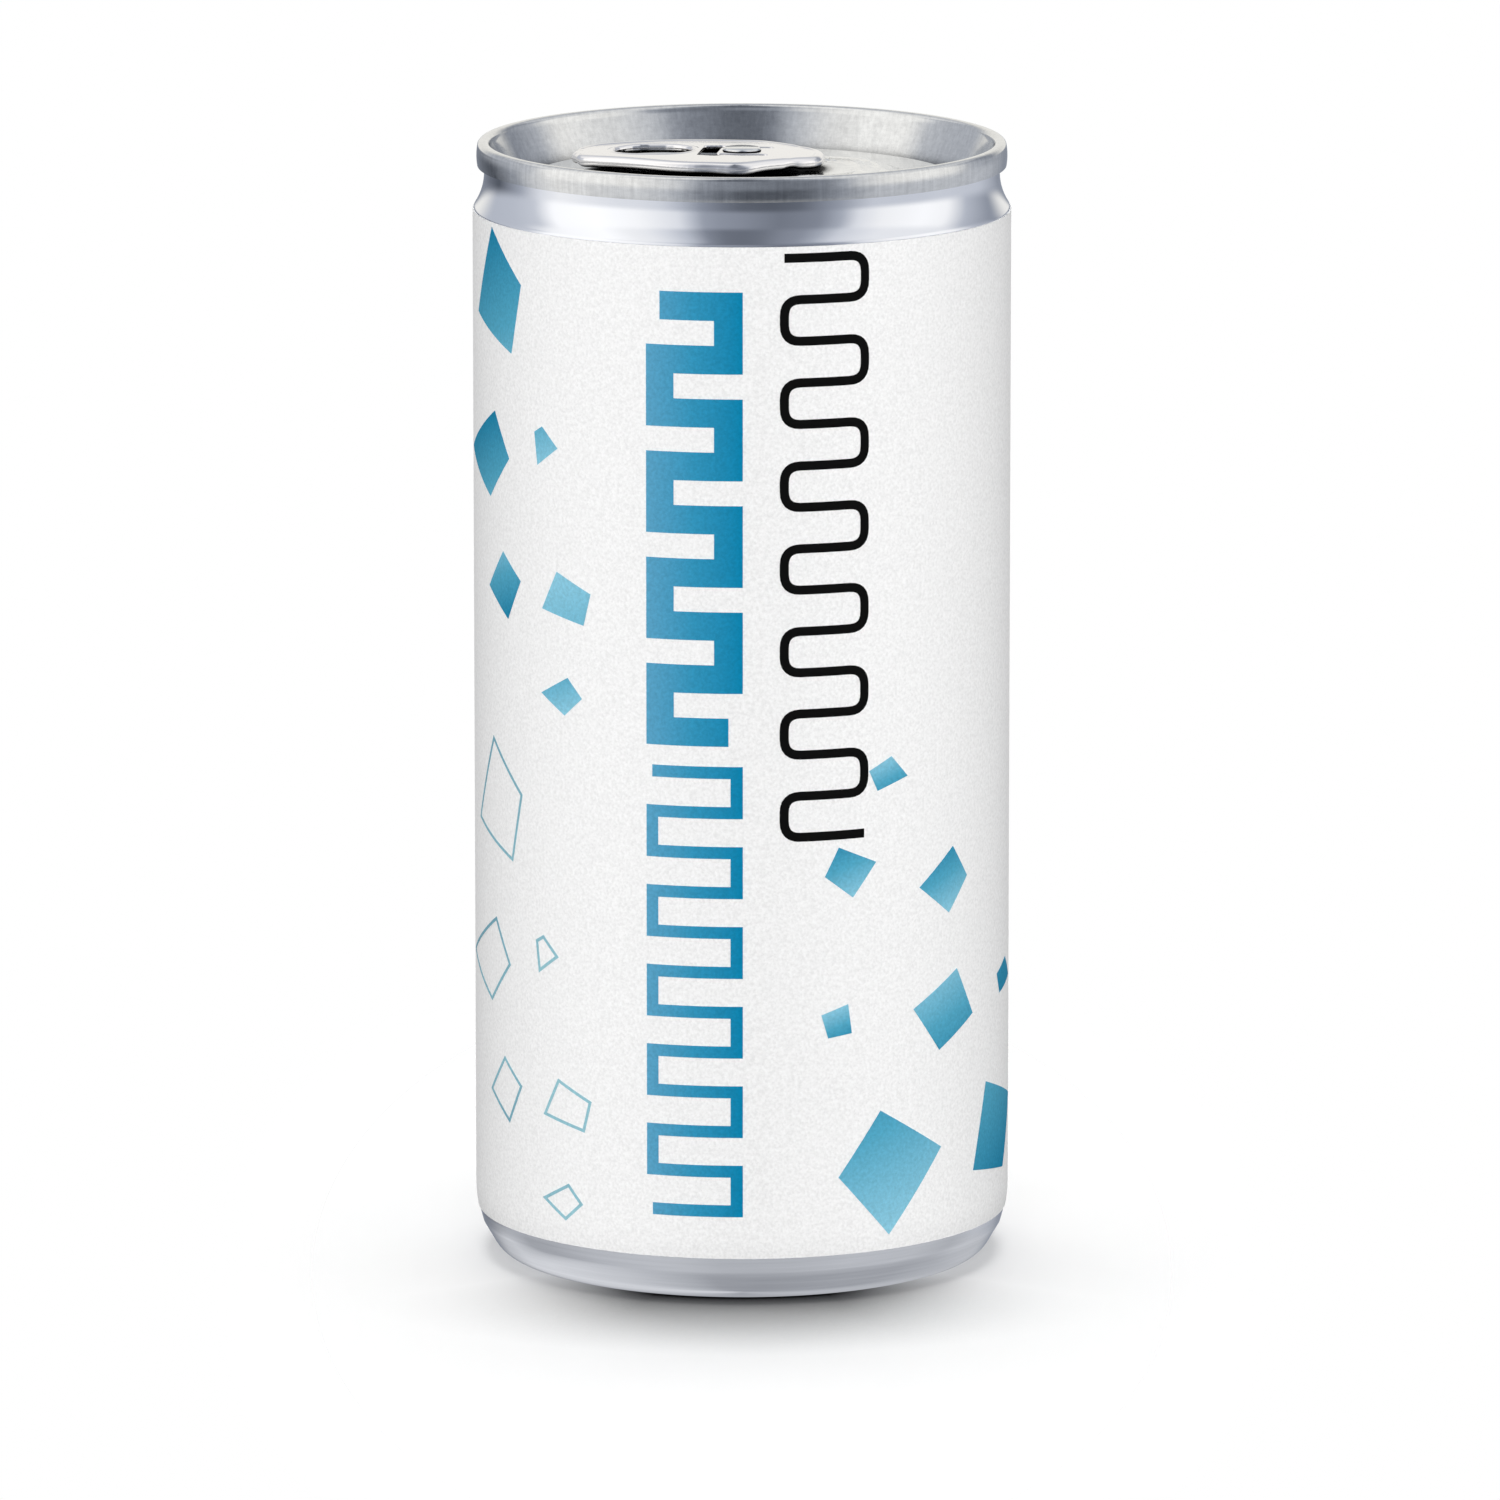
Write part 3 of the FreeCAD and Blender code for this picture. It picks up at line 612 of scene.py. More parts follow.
turn = Matrix.Rotation(math.radians(TAB_TURN), 4, "Z")
web.data.transform(turn)
settle(web, "pull_tab")
print(f"tab: {len(web.data.polygons)} faces")

# %% [markdown]
# ## The sleeve
# The sleeve is a thin printed skin. It follows the straight wall and turns in a little over the
# chime at the bottom, and its top edge ends where the shoulder begins. It is turned like the
# body, with its own small thickness, so its cut edge catches a fine line of light.

# %% Turn the sleeve
paper_gauge = SLEEVE - WALL
sleeve_profile = (
    line((SLEEVE, WALL_FOOT), (SLEEVE, SHOULDER), 30)
    + line((WALL, SHOULDER), (WALL, WALL_FOOT), 30)
    + chime_arc(0, SLEEVE_FOOT, 8)[::-1]
    + chime_arc(paper_gauge, SLEEVE_FOOT, 8)
)
sleeve = turned("sleeve", sleeve_profile)
settle(sleeve, "label")

# %% [markdown]
# ## The print
# The print is a scatter of four-sided shards in teal, the lower ones only outlined, beside two
# upright ribbons of plain line ornament. Each shape is drawn flat, in millimetres round the wall
# and up it, then wrapped onto the sleeve as a film of ink of its own, a fiftieth of a millimetre
# thick. A film is cut into narrow strips first, so that it bends with the wall, and each of its
# points keeps a share from 0 to 1 that says where it lies along the shape's gradient.

# %% Print helpers
INK = 0.03
FILM = 0.02
STRIP = 0.7
ROUND_WALL = 2 * math.pi * SLEEVE


def wrap(piece):
    """Bends a flat film, drawn with X round the wall and Y up it, onto the sleeve."""
    for vertex in piece.data.vertices:
        around, height, lift = vertex.co / MM
        angle = around / SLEEVE
        radius = SLEEVE + INK + lift
        vertex.co = Vector((radius * math.sin(angle), -radius * math.cos(angle), height)) * MM


def keep_shares(piece, toward):
    """Stores each point's share along one direction of the flat film, from 0 to 1."""
    steps = [vertex.co.xy.dot(toward) for vertex in piece.data.vertices]
    low, high = min(steps), max(steps)
    shares = piece.data.attributes.new("share", "FLOAT", "POINT")
    for index, step in enumerate(steps):
        shares.data[index].value = (step - low) / max(high - low, 1e-9)


def cut_in_strips(piece):
    """Cuts a flat film along upright lines a strip apart."""
    bpy.ops.object.select_all(action="DESELECT")
    piece.select_set(True)
    bpy.context.view_layer.objects.active = piece
    places = [vertex.co.x / MM for vertex in piece.data.vertices]
    first = math.floor(min(places) / STRIP) + 1
    last = math.ceil(max(places) / STRIP)
    bpy.ops.object.mode_set(mode="EDIT")
    for index in range(first, last):
        bpy.ops.mesh.select_all(action="SELECT")
        bpy.ops.mesh.bisect(plane_co=(index * STRIP * MM, 0, 0), plane_no=(1, 0, 0))
    bpy.ops.object.mode_set(mode="OBJECT")


def joined(name, pieces):
    """One object made of several films, given their thickness, riding on the can."""
    bpy.ops.object.select_all(action="DESELECT")
    for piece in pieces:
        piece.select_set(True)
    bpy.context.view_layer.objects.active = pieces[0]
    bpy.ops.object.join()
    whole = pieces[0]
    whole.name = name
    film = whole.modifiers.new("film", "SOLIDIFY")
    film.thickness = FILM * MM
    film.offset = -1
    bpy.ops.object.modifier_apply(modifier="film")
    settle(whole, None)
    print(f"{name}: {len(pieces)} shapes, {len(whole.data.polygons)} faces")
    return whole


print(f"the wall is {ROUND_WALL:.1f} mm round")

# %% [markdown]
# ## Shards
# A shard is a kite of four corners. Each is given by the place of its middle, its width and
# height, how far its top and bottom corners lean, and how far its side corners rise. The left
# group is printed twice, outlined at the foot of the wall and filled half a can higher, and the
# whole print is repeated on the other side of the can.

# %% Shards
LEFT_GROUP = [
    # around, up, width, height, top lean, bottom lean, right rise, left rise, from, to
    (-30.4, 48.0, 10.5, 12.0, -0.7, 3.5, 1.0, -3.0, 0.00, 0.65),
    (-33.4, 31.5, 12.0, 8.7, 2.9, 1.7, 0.0, -0.5, 0.00, 0.62),
    (-21.4, 33.5, 3.3, 3.9, -0.5, -1.2, 0.0, 1.3, 0.60, 0.95),
    (-28.7, 18.8, 6.7, 6.6, 0.0, 1.0, 0.8, -0.6, 0.75, 0.00),
    (-18.8, 18.8, 6.3, 5.0, -1.1, 2.3, 0.7, -1.4, 1.00, 0.75),
    (-19.4, 9.0, 5.4, 3.8, 0.9, 0.5, 0.0, 0.0, 0.60, 1.00),
]
RIGHT_GROUP = [
    (15.2, 52.5, 4.5, 3.3, 0.3, -1.3, -0.5, 0.4, 0.95, 0.35),
    (11.0, 43.0, 5.5, 5.1, -1.3, 0.2, 0.8, -0.3, 0.18, 0.95),
    (22.6, 40.8, 7.2, 6.6, 1.2, 0.6, 0.0, -0.2, 0.18, 1.00),
    (22.8, 27.8, 9.1, 7.8, 1.7, -1.0, -1.1, 0.7, 0.85, 0.28),
    (9.5, 28.2, 3.2, 3.3, 1.2, -0.9, -1.3, 0.7, 0.95, 0.20),
    (36.3, 29.0, 6.0, 3.2, 0.5, -2.0, -0.7, 0.5, 0.15, 0.05),
    (15.9, 12.5, 12.4, 12.6, -1.6, -0.6, 1.6, 0.0, 0.40, 1.00),
    (33.8, 14.3, 12.5, 9.8, -3.5, 2.0, 1.8, -3.6, 0.55, 0.00),
]
GROUP_RISE = 50.7
OUTLINE_WIDTH = 0.32
SHADE_TOWARD = Vector((0.35, -1.0))


def shard(name, around, up, width, height, leans, rises, shares, line_width=None):
    """One kite-shaped shard of ink, filled or outlined, wrapped onto the sleeve."""
    corners = [
        (around + leans[0], up + height / 2),
        (around - width / 2, up + rises[1]),
        (around + leans[1], up - height / 2),
        (around + width / 2, up + rises[0]),
    ]
    piece = ring(name, corners, 0.0, filled=True)
    if line_width:
        bpy.ops.object.mode_set(mode="EDIT")
        bpy.ops.mesh.select_all(action="SELECT")
        bpy.ops.mesh.inset(thickness=line_width * MM)
        bpy.ops.mesh.delete(type="FACE")
        bpy.ops.object.mode_set(mode="OBJECT")
    cut_in_strips(piece)
    keep_shares(piece, SHADE_TOWARD)
    for item in piece.data.attributes["share"].data:
        item.value = shares[0] + (shares[1] - shares[0]) * item.value
    wrap(piece)
    return piece


filled = []
outlined = []
for side in range(2):
    shift = side * ROUND_WALL / 2
    for group in (LEFT_GROUP, RIGHT_GROUP):
        for around, up, width, height, *rest in group:
            form = (width, height, rest[0:2], rest[2:4], rest[4:6])
            place = around + shift
            if group is LEFT_GROUP:
                outlined.append(shard("line", place, up, *form, OUTLINE_WIDTH))
                up += GROUP_RISE
            filled.append(shard("fill", place, up, *form))
print_shards = joined("print_shards", filled)
print_outlines = joined("print_outlines", outlined)

# %% [markdown]
# ## Ribbons
# The two upright ribbons are plain meanders, a very old line ornament: one line that runs
# across, down, back and down again. The left one is broad above and fine below, in blue. The
# right one is fine and black, with rounded turns. A ribbon is a strip of quads whose two rails
# stay half a line's width each side of its middle line.

# %% Ribbons
def meander(left, right, top, bottom, rows, round_off):
    """The middle line of a meander, from the top left down, with its turns rounded."""
    pitch = (top - bottom) / (rows - 1)
    corners = []
    for row in range(rows):
        level = top - row * pitch
        ends = (left, right) if row % 2 == 0 else (right, left)
        corners += [(ends[0], level), (ends[1], level)]
    path = [corners[0]]
    for before, corner, after in zip(corners, corners[1:], corners[2:]):
        here = Vector(corner)
        if not round_off:
            path.append(corner)
            continue
        towards = (Vector(before) - here).normalized()
        onwards = (Vector(after) - here).normalized()
        for step in range(7):
            share = step / 6
            first = here + towards * round_off * (1 - share) ** 2
            path.append(tuple(first + onwards * round_off * share**2))
    path.append(corners[-1])
    return path


def ribbon(name, path, width):
    """A line of ink of one width along a path, as a strip of quads, wrapped onto the sleeve."""
    count = len(path)
    bpy.ops.object.select_all(action="DESELECT")
    bpy.ops.mesh.primitive_grid_add(x_subdivisions=count - 1, y_subdivisions=1, size=MM)
    piece = bpy.context.object
    piece.name = name
    for index in range(count):
        here = Vector(path[index])
        before = Vector(path[max(index - 1, 0)])
        after = Vector(path[min(index + 1, count - 1)])
        entry = (here - before).normalized() if index else (after - here).normalized()
        leave = (after - here).normalized() if index < count - 1 else entry
        across = Vector((-(entry + leave).y, (entry + leave).x)).normalized()
        reach = width / 2 / across.dot(Vector((-entry.y, entry.x)))
        for row, side in ((0, -1), (1, 1)):
            point = here + across * reach * side
            piece.data.vertices[row * count + index].co = Vector((point.x, point.y, 0)) * MM
    cut_in_strips(piece)
    keep_shares(piece, Vector((1.0, 0.0)))
    wrap(piece)
    return piece


RIBBONS = [
    # print, left end, right end, top, foot, rows, rounding of the turns, width of the line
    ("blue", -8.1, -1.3, 99.3, 57.3, 9, 0, 2.8),
    ("blue", -8.9, -0.5, 53.3, 9.5, 12, 0, 1.2),
    ("black", 4.15, 12.4, 104.0, 46.8, 15, 1.6, 0.9),
]
films = {"blue": [], "black": []}
for side in range(2):
    shift = side * ROUND_WALL / 2
    for colour, left, right, top, foot, rows, round_off, width in RIBBONS:
        path = meander(shift + left, shift + right, top, foot, rows, round_off)
        films[colour].append(ribbon(colour, path, width))
print_blue = joined("print_blue_ribbon", films["blue"])
print_black = joined("print_black_ribbon", films["black"])

# %% [markdown]
# ## Materials
# Bare aluminium is a metal with a soft, slightly uneven gloss. What tells its places apart is
# the grain: the drawn body has fine rings round it, the seam and the chuck wall are scuffed up
# and down by the tools, and the flat panel keeps the straight grain of the rolled sheet. All
# read the can's own coordinates, so the grain stays at its true size.

# %% Node helpers
# where a mix node takes its first and second value, and gives its result
MIX_SOCKETS = {"RGBA": (6, 7, 2), "FLOAT": (2, 3, 0)}


def new_material(name):
    """A material with its Principled shader, ready for more nodes."""
    material = bpy.data.materials.new(name)
    material.use_nodes = True
    tree = material.node_tree
    return material, tree, tree.nodes["Principled BSDF"]


def add(tree, kind, **values):
    """A node with some of its properties and inputs set by name."""
    node = tree.nodes.new(kind)
    for key, value in values.items():
        label = key.replace("_", " ")
        if label in node.inputs:
            node.inputs[label].default_value = value
        else:
            setattr(node, key, value)
    return node


def feed(tree, socket, value):
    """Links another socket into this one, or sets its value; a colour comes without alpha."""
    if isinstance(value, bpy.types.NodeSocket):
        tree.links.new(value, socket)
    elif isinstance(value, tuple):
        socket.default_value = (*value, 1)
    else:
        socket.default_value = value


def mixed(tree, factor, low, high, kind="RGBA", blend_type="MIX"):
    """What a mix node makes of two colours, or of two numbers, by a factor from 0 to 1."""
    node = add(tree, "ShaderNodeMix", data_type=kind, blend_type=blend_type)
    first, second, result = MIX_SOCKETS[kind]
    feed(tree, node.inputs["Factor"], factor)
    feed(tree, node.inputs[first], low)
    feed(tree, node.inputs[second], high)
    return node.outputs[result]


def spread(tree, source, low, high, start=0.3, end=0.7, **values):
    """Maps a noise, or another number, from one range onto another."""
    node = add(tree, "ShaderNodeMapRange", **values)
    node.inputs["From Min"].default_value = start
    node.inputs["From Max"].default_value = end
    node.inputs["To Min"].default_value = low
    node.inputs["To Max"].default_value = high
    tree.links.new(source, node.inputs["Value"])
    return node.outputs["Result"]


# %% Helpers for places and directions
def own(tree, output="Object"):
    """The piece's own coordinates, or its own normals."""
    return add(tree, "ShaderNodeTexCoord").outputs[output]


def stretched(tree, vector, scale):
    """Coordinates made larger or smaller along each axis."""
    node = add(tree, "ShaderNodeMapping")
    node.inputs["Scale"].default_value = scale
    tree.links.new(vector, node.inputs["Vector"])
    return node.outputs["Vector"]


def parts(tree, vector):
    """The X, Y and Z parts of a vector."""
    node = add(tree, "ShaderNodeSeparateXYZ")
    tree.links.new(vector, node.inputs["Vector"])
    return node.outputs


def length(tree, vector):
    """How long a vector is."""
    node = add(tree, "ShaderNodeVectorMath", operation="LENGTH")
    tree.links.new(vector, node.inputs[0])
    return node.outputs["Value"]


def direction(tree, vector):
    """A vector's direction, as a vector one long."""
    node = add(tree, "ShaderNodeVectorMath", operation="NORMALIZE")
    tree.links.new(vector, node.inputs[0])
    return node.outputs["Vector"]


def grain(tree, scale, detail=3.0):
    """Noise in the piece's own coordinates, stretched by a scale per metre along each axis."""
    noise = add(tree, "ShaderNodeTexNoise", Scale=1.0, Detail=detail, Roughness=0.6)
    tree.links.new(stretched(tree, own(tree), scale), noise.inputs["Vector"])
    return noise.outputs["Fac"]


# %% Helpers for finishes
# the colour of the painted shade in gaps, holes and under the tab
PAINTED_SHADE_TONE = (0.01, 0.01, 0.01)


def relief(tree, shader, noise, depth, strength):
    """Turns a noise into small relief, in millimetres, on the shader's normal."""
    bump = add(tree, "ShaderNodeBump", Strength=strength, Distance=depth * MM)
    tree.links.new(noise, bump.inputs["Height"])
    tree.links.new(bump.outputs["Normal"], shader.inputs["Normal"])


def polish(tree, shader, noise, gloss, depth, strength):
    """Lets a noise vary the gloss between two roughnesses, and raise a small relief."""
    tree.links.new(spread(tree, noise, *gloss), shader.inputs["Roughness"])
    relief(tree, shader, noise, depth, strength)


def paint_gap_shade(tree, shader, colour, reach, shut, clear):
    """Paints shade into a closed-in metal's colour and reflection, from shut, darkest, up to clear.
    """
    closed = add(tree, "ShaderNodeAmbientOcclusion", Distance=reach * MM, samples=8)
    clearance = spread(tree, closed.outputs["AO"], 0.02, 1, shut, clear)
    tree.links.new(mixed(tree, clearance, PAINTED_SHADE_TONE, colour), shader.inputs["Base Color"])
    # the painted shade darkens the metal's reflection too
    tree.links.new(clearance, shader.inputs["Specular Tint"])


def dress(piece, material):
    """Gives a piece its one material."""
    piece.data.materials.clear()
    piece.data.materials.append(material)
    print(f"{piece.name}: {material.name}, {len(material.node_tree.nodes)} nodes")


# %% [markdown]
# ## The body's metal
# Ironing draws the wall up through rings, which leaves fine lines round the can. The sleeve
# hides them on the wall, and the neck here is bright and smooth, so the rings are kept to the
# foot. A slow, cloudy noise keeps the gloss from being quite even.

# %% Drawn aluminium
RINGS_GONE = 0.011
RINGS_FULL = 0.008
drawn, tree, shader = new_material("drawn_aluminium")
shader.inputs["Metallic"].default_value = 1.0
rings = spread(tree, grain(tree, (40, 40, 1800)), 0, 1)
at_foot = spread(tree, parts(tree, own(tree))["Z"], 1, 0, RINGS_FULL, RINGS_GONE)
ringed = mixed(tree, at_foot, 0.5, rings, "FLOAT")
tone = mixed(tree, ringed, (0.81, 0.82, 0.85), (0.91, 0.92, 0.95))
tree.links.new(tone, shader.inputs["Base Color"])
cloud = grain(tree, (120, 120, 160), 2.0)
polish(tree, shader, cloud, gloss=(0.07, 0.13), depth=0.02, strength=0.12)
dress(shell, drawn)

# %% [markdown]
# ## The end's metal
# One material covers the whole end. A mask on the distance from the axis tells the scuffed wall
# and seam from the flat panel, and mixes their two grains. Under the tab, in its holes and in
# the groove, shade is painted into the metal by how closed in each place is. This is painted
# shade, not light: it reads almost black in the groove when the can is seen from high up.

# %% Rolled aluminium of the end
WALL_BLUR = 0.3
rolled, tree, shader = new_material("rolled_aluminium")
shader.inputs["Metallic"].default_value = 1.0
flat = add(tree, "ShaderNodeVectorMath", operation="MULTIPLY")
flat.inputs[1].default_value = (1, 1, 0)
tree.links.new(own(tree), flat.inputs[0])
from_axis = length(tree, flat.outputs["Vector"])
panel_edge = ((PANEL_RADIUS - WALL_BLUR) * MM, (PANEL_RADIUS + WALL_BLUR) * MM)
on_wall = spread(tree, from_axis, 0, 1, *panel_edge)
upright = grain(tree, (2600, 2600, 160))
level = grain(tree, (900, 900, 3200))
straight = grain(tree, (120, 3600, 120))
scuffed = mixed(tree, 0.4, upright, level, "FLOAT")
both = mixed(tree, on_wall, straight, scuffed, "FLOAT")
tone = mixed(tree, spread(tree, both, 0, 1), (0.72, 0.72, 0.71), (0.98, 0.98, 0.96))
tone = mixed(tree, on_wall, tone, (0.84, 0.84, 0.84), blend_type="MULTIPLY")
# painted shade under the tab, in the tab's holes and in the countersink groove
paint_gap_shade(tree, shader, tone, reach=3.0, shut=0.55, clear=0.83)
polish(tree, shader, both, gloss=(0.08, 0.15), depth=0.003, strength=0.2)
dress(end_plate, rolled)

# %% [markdown]
# ## The tab's metal
# The tab is brighter than the end, with hardly any grain. Its underside is painted dark as
# shade, as the gaps are: its own normals say which faces look down.

# %% Bright aluminium of the tab
UNDERSIDE_SHADE_FULL = -0.85
UNDERSIDE_SHADE_CLEAR = -0.25
bright, tree, shader = new_material("bright_aluminium")
shader.inputs["Metallic"].default_value = 1.0
# painted shade: faces that look down are painted almost black
unshaded_side = spread(tree, parts(tree, own(tree, "Normal"))["Z"], 0, 1, UNDERSIDE_SHADE_FULL, UNDERSIDE_SHADE_CLEAR)
tone = mixed(tree, unshaded_side, (0.02, 0.02, 0.02), (0.92, 0.90, 0.89))
# painted shade in the tab's slot, holes and the gap under its curl
paint_gap_shade(tree, shader, tone, reach=1.6, shut=0.40, clear=0.70)
swirl = grain(tree, (700, 900, 700))
polish(tree, shader, swirl, gloss=(0.06, 0.12), depth=0.02, strength=0.15)
dress(web, bright)

# %% [markdown]
# ## Sleeve and inks
# The sleeve is matt white with a fine, soft grain. The inks lie on it, so they carry the same
# grain, and each shape runs from a deep tone to a light one along its own share. The tone half
# way is the one that looks half way to the eye.

# %% White sleeve
PAPER_GRAIN = (3300, 3300, 3300)
paper, tree, shader = new_material("white_sleeve")
shader.inputs["Roughness"].default_value = 0.85
shader.inputs["Specular IOR Level"].default_value = 0.15
speck = grain(tree, PAPER_GRAIN, 2.0)
tone = mixed(tree, spread(tree, speck, 0, 1), (0.84, 0.84, 0.84), (0.998, 0.998, 0.998))
tree.links.new(tone, shader.inputs["Base Color"])
relief(tree, shader, speck, depth=0.01, strength=0.3)
dress(sleeve, paper)


# %% Inks
def halfway(deep, light):
    """The colour that looks half way between two others."""
    return [((a ** 0.45 + b ** 0.45) / 2) ** 2.2 for a, b in zip(deep, light)]


def ink(name, deep, light):
    """An ink that runs from deep to light along each shape's share, with the sleeve's grain."""
    material, tree, shader = new_material(name)
    shader.inputs["Roughness"].default_value = 0.8
    shader.inputs["Specular IOR Level"].default_value = 0.06
    share = add(tree, "ShaderNodeAttribute", attribute_name="share")
    blend = add(tree, "ShaderNodeValToRGB")
    stops = blend.color_ramp.elements
    stops[0].color = (*deep, 1)
    stops[1].color = (*light, 1)
    stops.new(0.5).color = (*halfway(deep, light), 1)
    tree.links.new(share.outputs["Fac"], blend.inputs["Fac"])
    value = add(tree, "ShaderNodeCombineColor")
    dark = spread(tree, grain(tree, PAPER_GRAIN, 2.0), 0.86, 1.06)
    for channel in ("Red", "Green", "Blue"):
        tree.links.new(dark, value.inputs[channel])
    speckled = mixed(tree, 1.0, blend.outputs["Color"], value.outputs["Color"], blend_type="MULTIPLY")
    tree.links.new(speckled, shader.inputs["Base Color"])
    return material


dress(print_shards, ink("teal_ink", (0.006, 0.225, 0.40), (0.28, 0.62, 0.78)))
dress(print_outlines, ink("pale_teal_ink", (0.20, 0.42, 0.52), (0.33, 0.60, 0.68)))
dress(print_blue, ink("blue_ink", (0.105, 0.37, 0.575), (0.002, 0.235, 0.44)))
dress(print_black, ink("black_ink", (0.004, 0.004, 0.004), (0.004, 0.004, 0.004)))

# %% [markdown]
# ## The floor
# The floor is a round of matt white that fades out before its edge, so that it runs into the
# white background. In front of the foot a shadow is painted on it by closeness, which draws the
# contact line; a mask on direction keeps that painted shadow off the sides, and the fade is
# quicker there too.

# %% Floor
FLOOR_RADIUS = 0.6
FADE_START = 0.04
FADE_END = 0.16
SIDE_FADE = 3.0
CONTACT_SHADOW_REACH = 22
CONTACT_SHADOW_DEPTH = 1.9
SHADOW_FRONT_FROM = -0.55
SHADOW_FRONT_FULL = -0.93
bpy.ops.object.select_all(action="DESELECT")
bpy.ops.mesh.primitive_circle_add(vertices=128, radius=FLOOR_RADIUS, fill_type="NGON")
floor = bpy.context.object
floor.name = "floor"
floor.visible_diffuse = False
floor.visible_glossy = False

# %% Floor material
pale, tree, shader = new_material("pale_floor")
tree.nodes.remove(shader)
output = tree.nodes["Material Output"]
from_can = length(tree, stretched(tree, own(tree), (SIDE_FADE, 1, 1)))
faded = spread(tree, from_can, 0, 1, FADE_START, FADE_END)
# painted shadow: the floor is darkened by closeness to the can, in front of the foot only
near = add(tree, "ShaderNodeAmbientOcclusion", Distance=CONTACT_SHADOW_REACH * MM, samples=12)
deep = add(tree, "ShaderNodeGamma", Gamma=CONTACT_SHADOW_DEPTH)
tree.links.new(near.outputs["Color"], deep.inputs["Color"])
forward = parts(tree, direction(tree, own(tree)))["Y"]
shadow_in_front = spread(tree, forward, 0, 1, SHADOW_FRONT_FROM, SHADOW_FRONT_FULL)
shade = mixed(tree, shadow_in_front, (0.95, 0.95, 0.95), deep.outputs["Color"], blend_type="MULTIPLY")
white = add(tree, "ShaderNodeBsdfDiffuse")
clear = add(tree, "ShaderNodeBsdfTransparent")
edge = add(tree, "ShaderNodeMixShader")
tree.links.new(shade, white.inputs["Color"])
tree.links.new(faded, edge.inputs["Fac"])
tree.links.new(white.outputs["BSDF"], edge.inputs[1])
tree.links.new(clear.outputs["BSDF"], edge.inputs[2])
tree.links.new(edge.outputs["Shader"], output.inputs["Surface"])
dress(floor, pale)

# %% [markdown]
# ## The room
# The world gives a little light from all round. To the camera, to reflections and to what is
# seen through something clear it is plain white instead, so the background is white without
# more light on the can.

# %% World
ROOM_LIGHT = 0.06
WHITE = (1, 1, 1, 1)
world = bpy.data.worlds.new("studio")
bpy.context.scene.world = world
world.use_nodes = True
tree = world.node_tree
tree.nodes.clear()
output = add(tree, "ShaderNodeOutputWorld")
room = add(tree, "ShaderNodeBackground", Color=WHITE, Strength=ROOM_LIGHT)
backdrop = add(tree, "ShaderNodeBackground", Color=WHITE, Strength=1.0)
path = add(tree, "ShaderNodeLightPath")
seen = path.outputs["Is Camera Ray"]
for kind in ("Is Glossy Ray", "Is Transmission Ray"):
    either = add(tree, "ShaderNodeMath", operation="MAXIMUM")
    tree.links.new(seen, either.inputs[0])
    tree.links.new(path.outputs[kind], either.inputs[1])
    seen = either.outputs[0]
choice = add(tree, "ShaderNodeMixShader")
tree.links.new(seen, choice.inputs["Fac"])
tree.links.new(room.outputs["Background"], choice.inputs[1])
tree.links.new(backdrop.outputs["Background"], choice.inputs[2])
tree.links.new(choice.outputs["Shader"], output.inputs["Surface"])
print(f"world: room light {ROOM_LIGHT}, {len(tree.nodes)} nodes")

# %% [markdown]
# ## Cards round the metal
# Bright metal shows whatever is round it, so it is given something to show: a tent of white and
# grey cards that only reflections see. The cards stand in five bands, one above another, and
# each band is a ramp of brightness round the can. Places that slope differently, such as the
# neck, the seam and the turned-in foot, look at different cards.

# %% Card levels
TENT_RADIUS = 1.2
CARDS = [
    # degrees round from straight in front of the can, to the right, and how bright
    (-180, 0.36), (-145, 0.52), (-120, 0.56), (-104, 0.64), (-92, 1.12), (-67, 1.17),
    (-47, 1.06), (-28, 0.83), (-22, 0.58), (-17, 0.38), (-10, 0.325), (0, 0.29), (17, 0.21),
    (35, 0.27), (45, 0.46), (53, 0.82), (65, 0.99), (88, 1.10), (103, 1.03),
    (117, 0.53), (137, 0.32), (180, 0.36),
]
LOW_CARDS = [
    (-180, 0.30), (-138, 0.10), (-116, 0.40), (-101, 0.80), (-88, 0.97), (-76, 0.92),
    (-56, 0.82), (-46, 0.80), (-36, 0.72), (-28, 0.55), (-18, 0.30), (-8, 0.19), (0, 0.13),
    (12, 0.11), (26, 0.145), (35, 0.25), (44, 0.35), (60, 0.64), (86, 0.64), (98, 0.67),
    (131, 0.60), (160, 0.30), (180, 0.30),
]
HIGH_CARDS = [
    (-180, 0.50), (-90, 1.10), (-70, 1.15), (-56, 0.98), (-46, 0.92), (-36, 0.76), (-27, 0.57),
    (-17, 0.26), (-8, 0.18), (1, 0.17), (10, 0.19), (19, 0.26), (29, 0.30), (38, 0.43),
    (48, 0.69), (58, 0.80), (69, 0.90), (93, 0.91), (180, 0.50),
]
FOOT_CARDS = [
    (-180, 0.36), (-140, 0.64), (-116, 0.40), (-101, 0.42), (-76, 0.52), (-46, 0.57),
    (-30, 0.56), (-10, 0.50), (5, 0.50), (26, 0.51), (54, 0.56), (90, 0.56), (113, 0.48),
    (131, 0.58), (180, 0.50),
]
UNDER_CARDS = [
    (-180, 0.40), (-168, 0.55), (-154, 0.69), (-127, 0.73), (-104, 0.69), (-80, 0.62), (-54, 0.52),
    (-38, 0.46), (-21, 0.37), (17, 0.355), (51, 0.375), (77, 0.40), (101, 0.40), (125, 0.47),
    (152, 0.54), (168, 0.52), (180, 0.40),
]
COOL = 0.12
FOOT_COOL = 0.05
COOL_BLUE = 2.2
GAIN = 2.0
LEAN = 0.28
BACK_CARD = (0.90, 0.89, 0.86)
BACK_FROM = 0.72
BACK_FULL = 0.93
BACK_RISE = 0.10
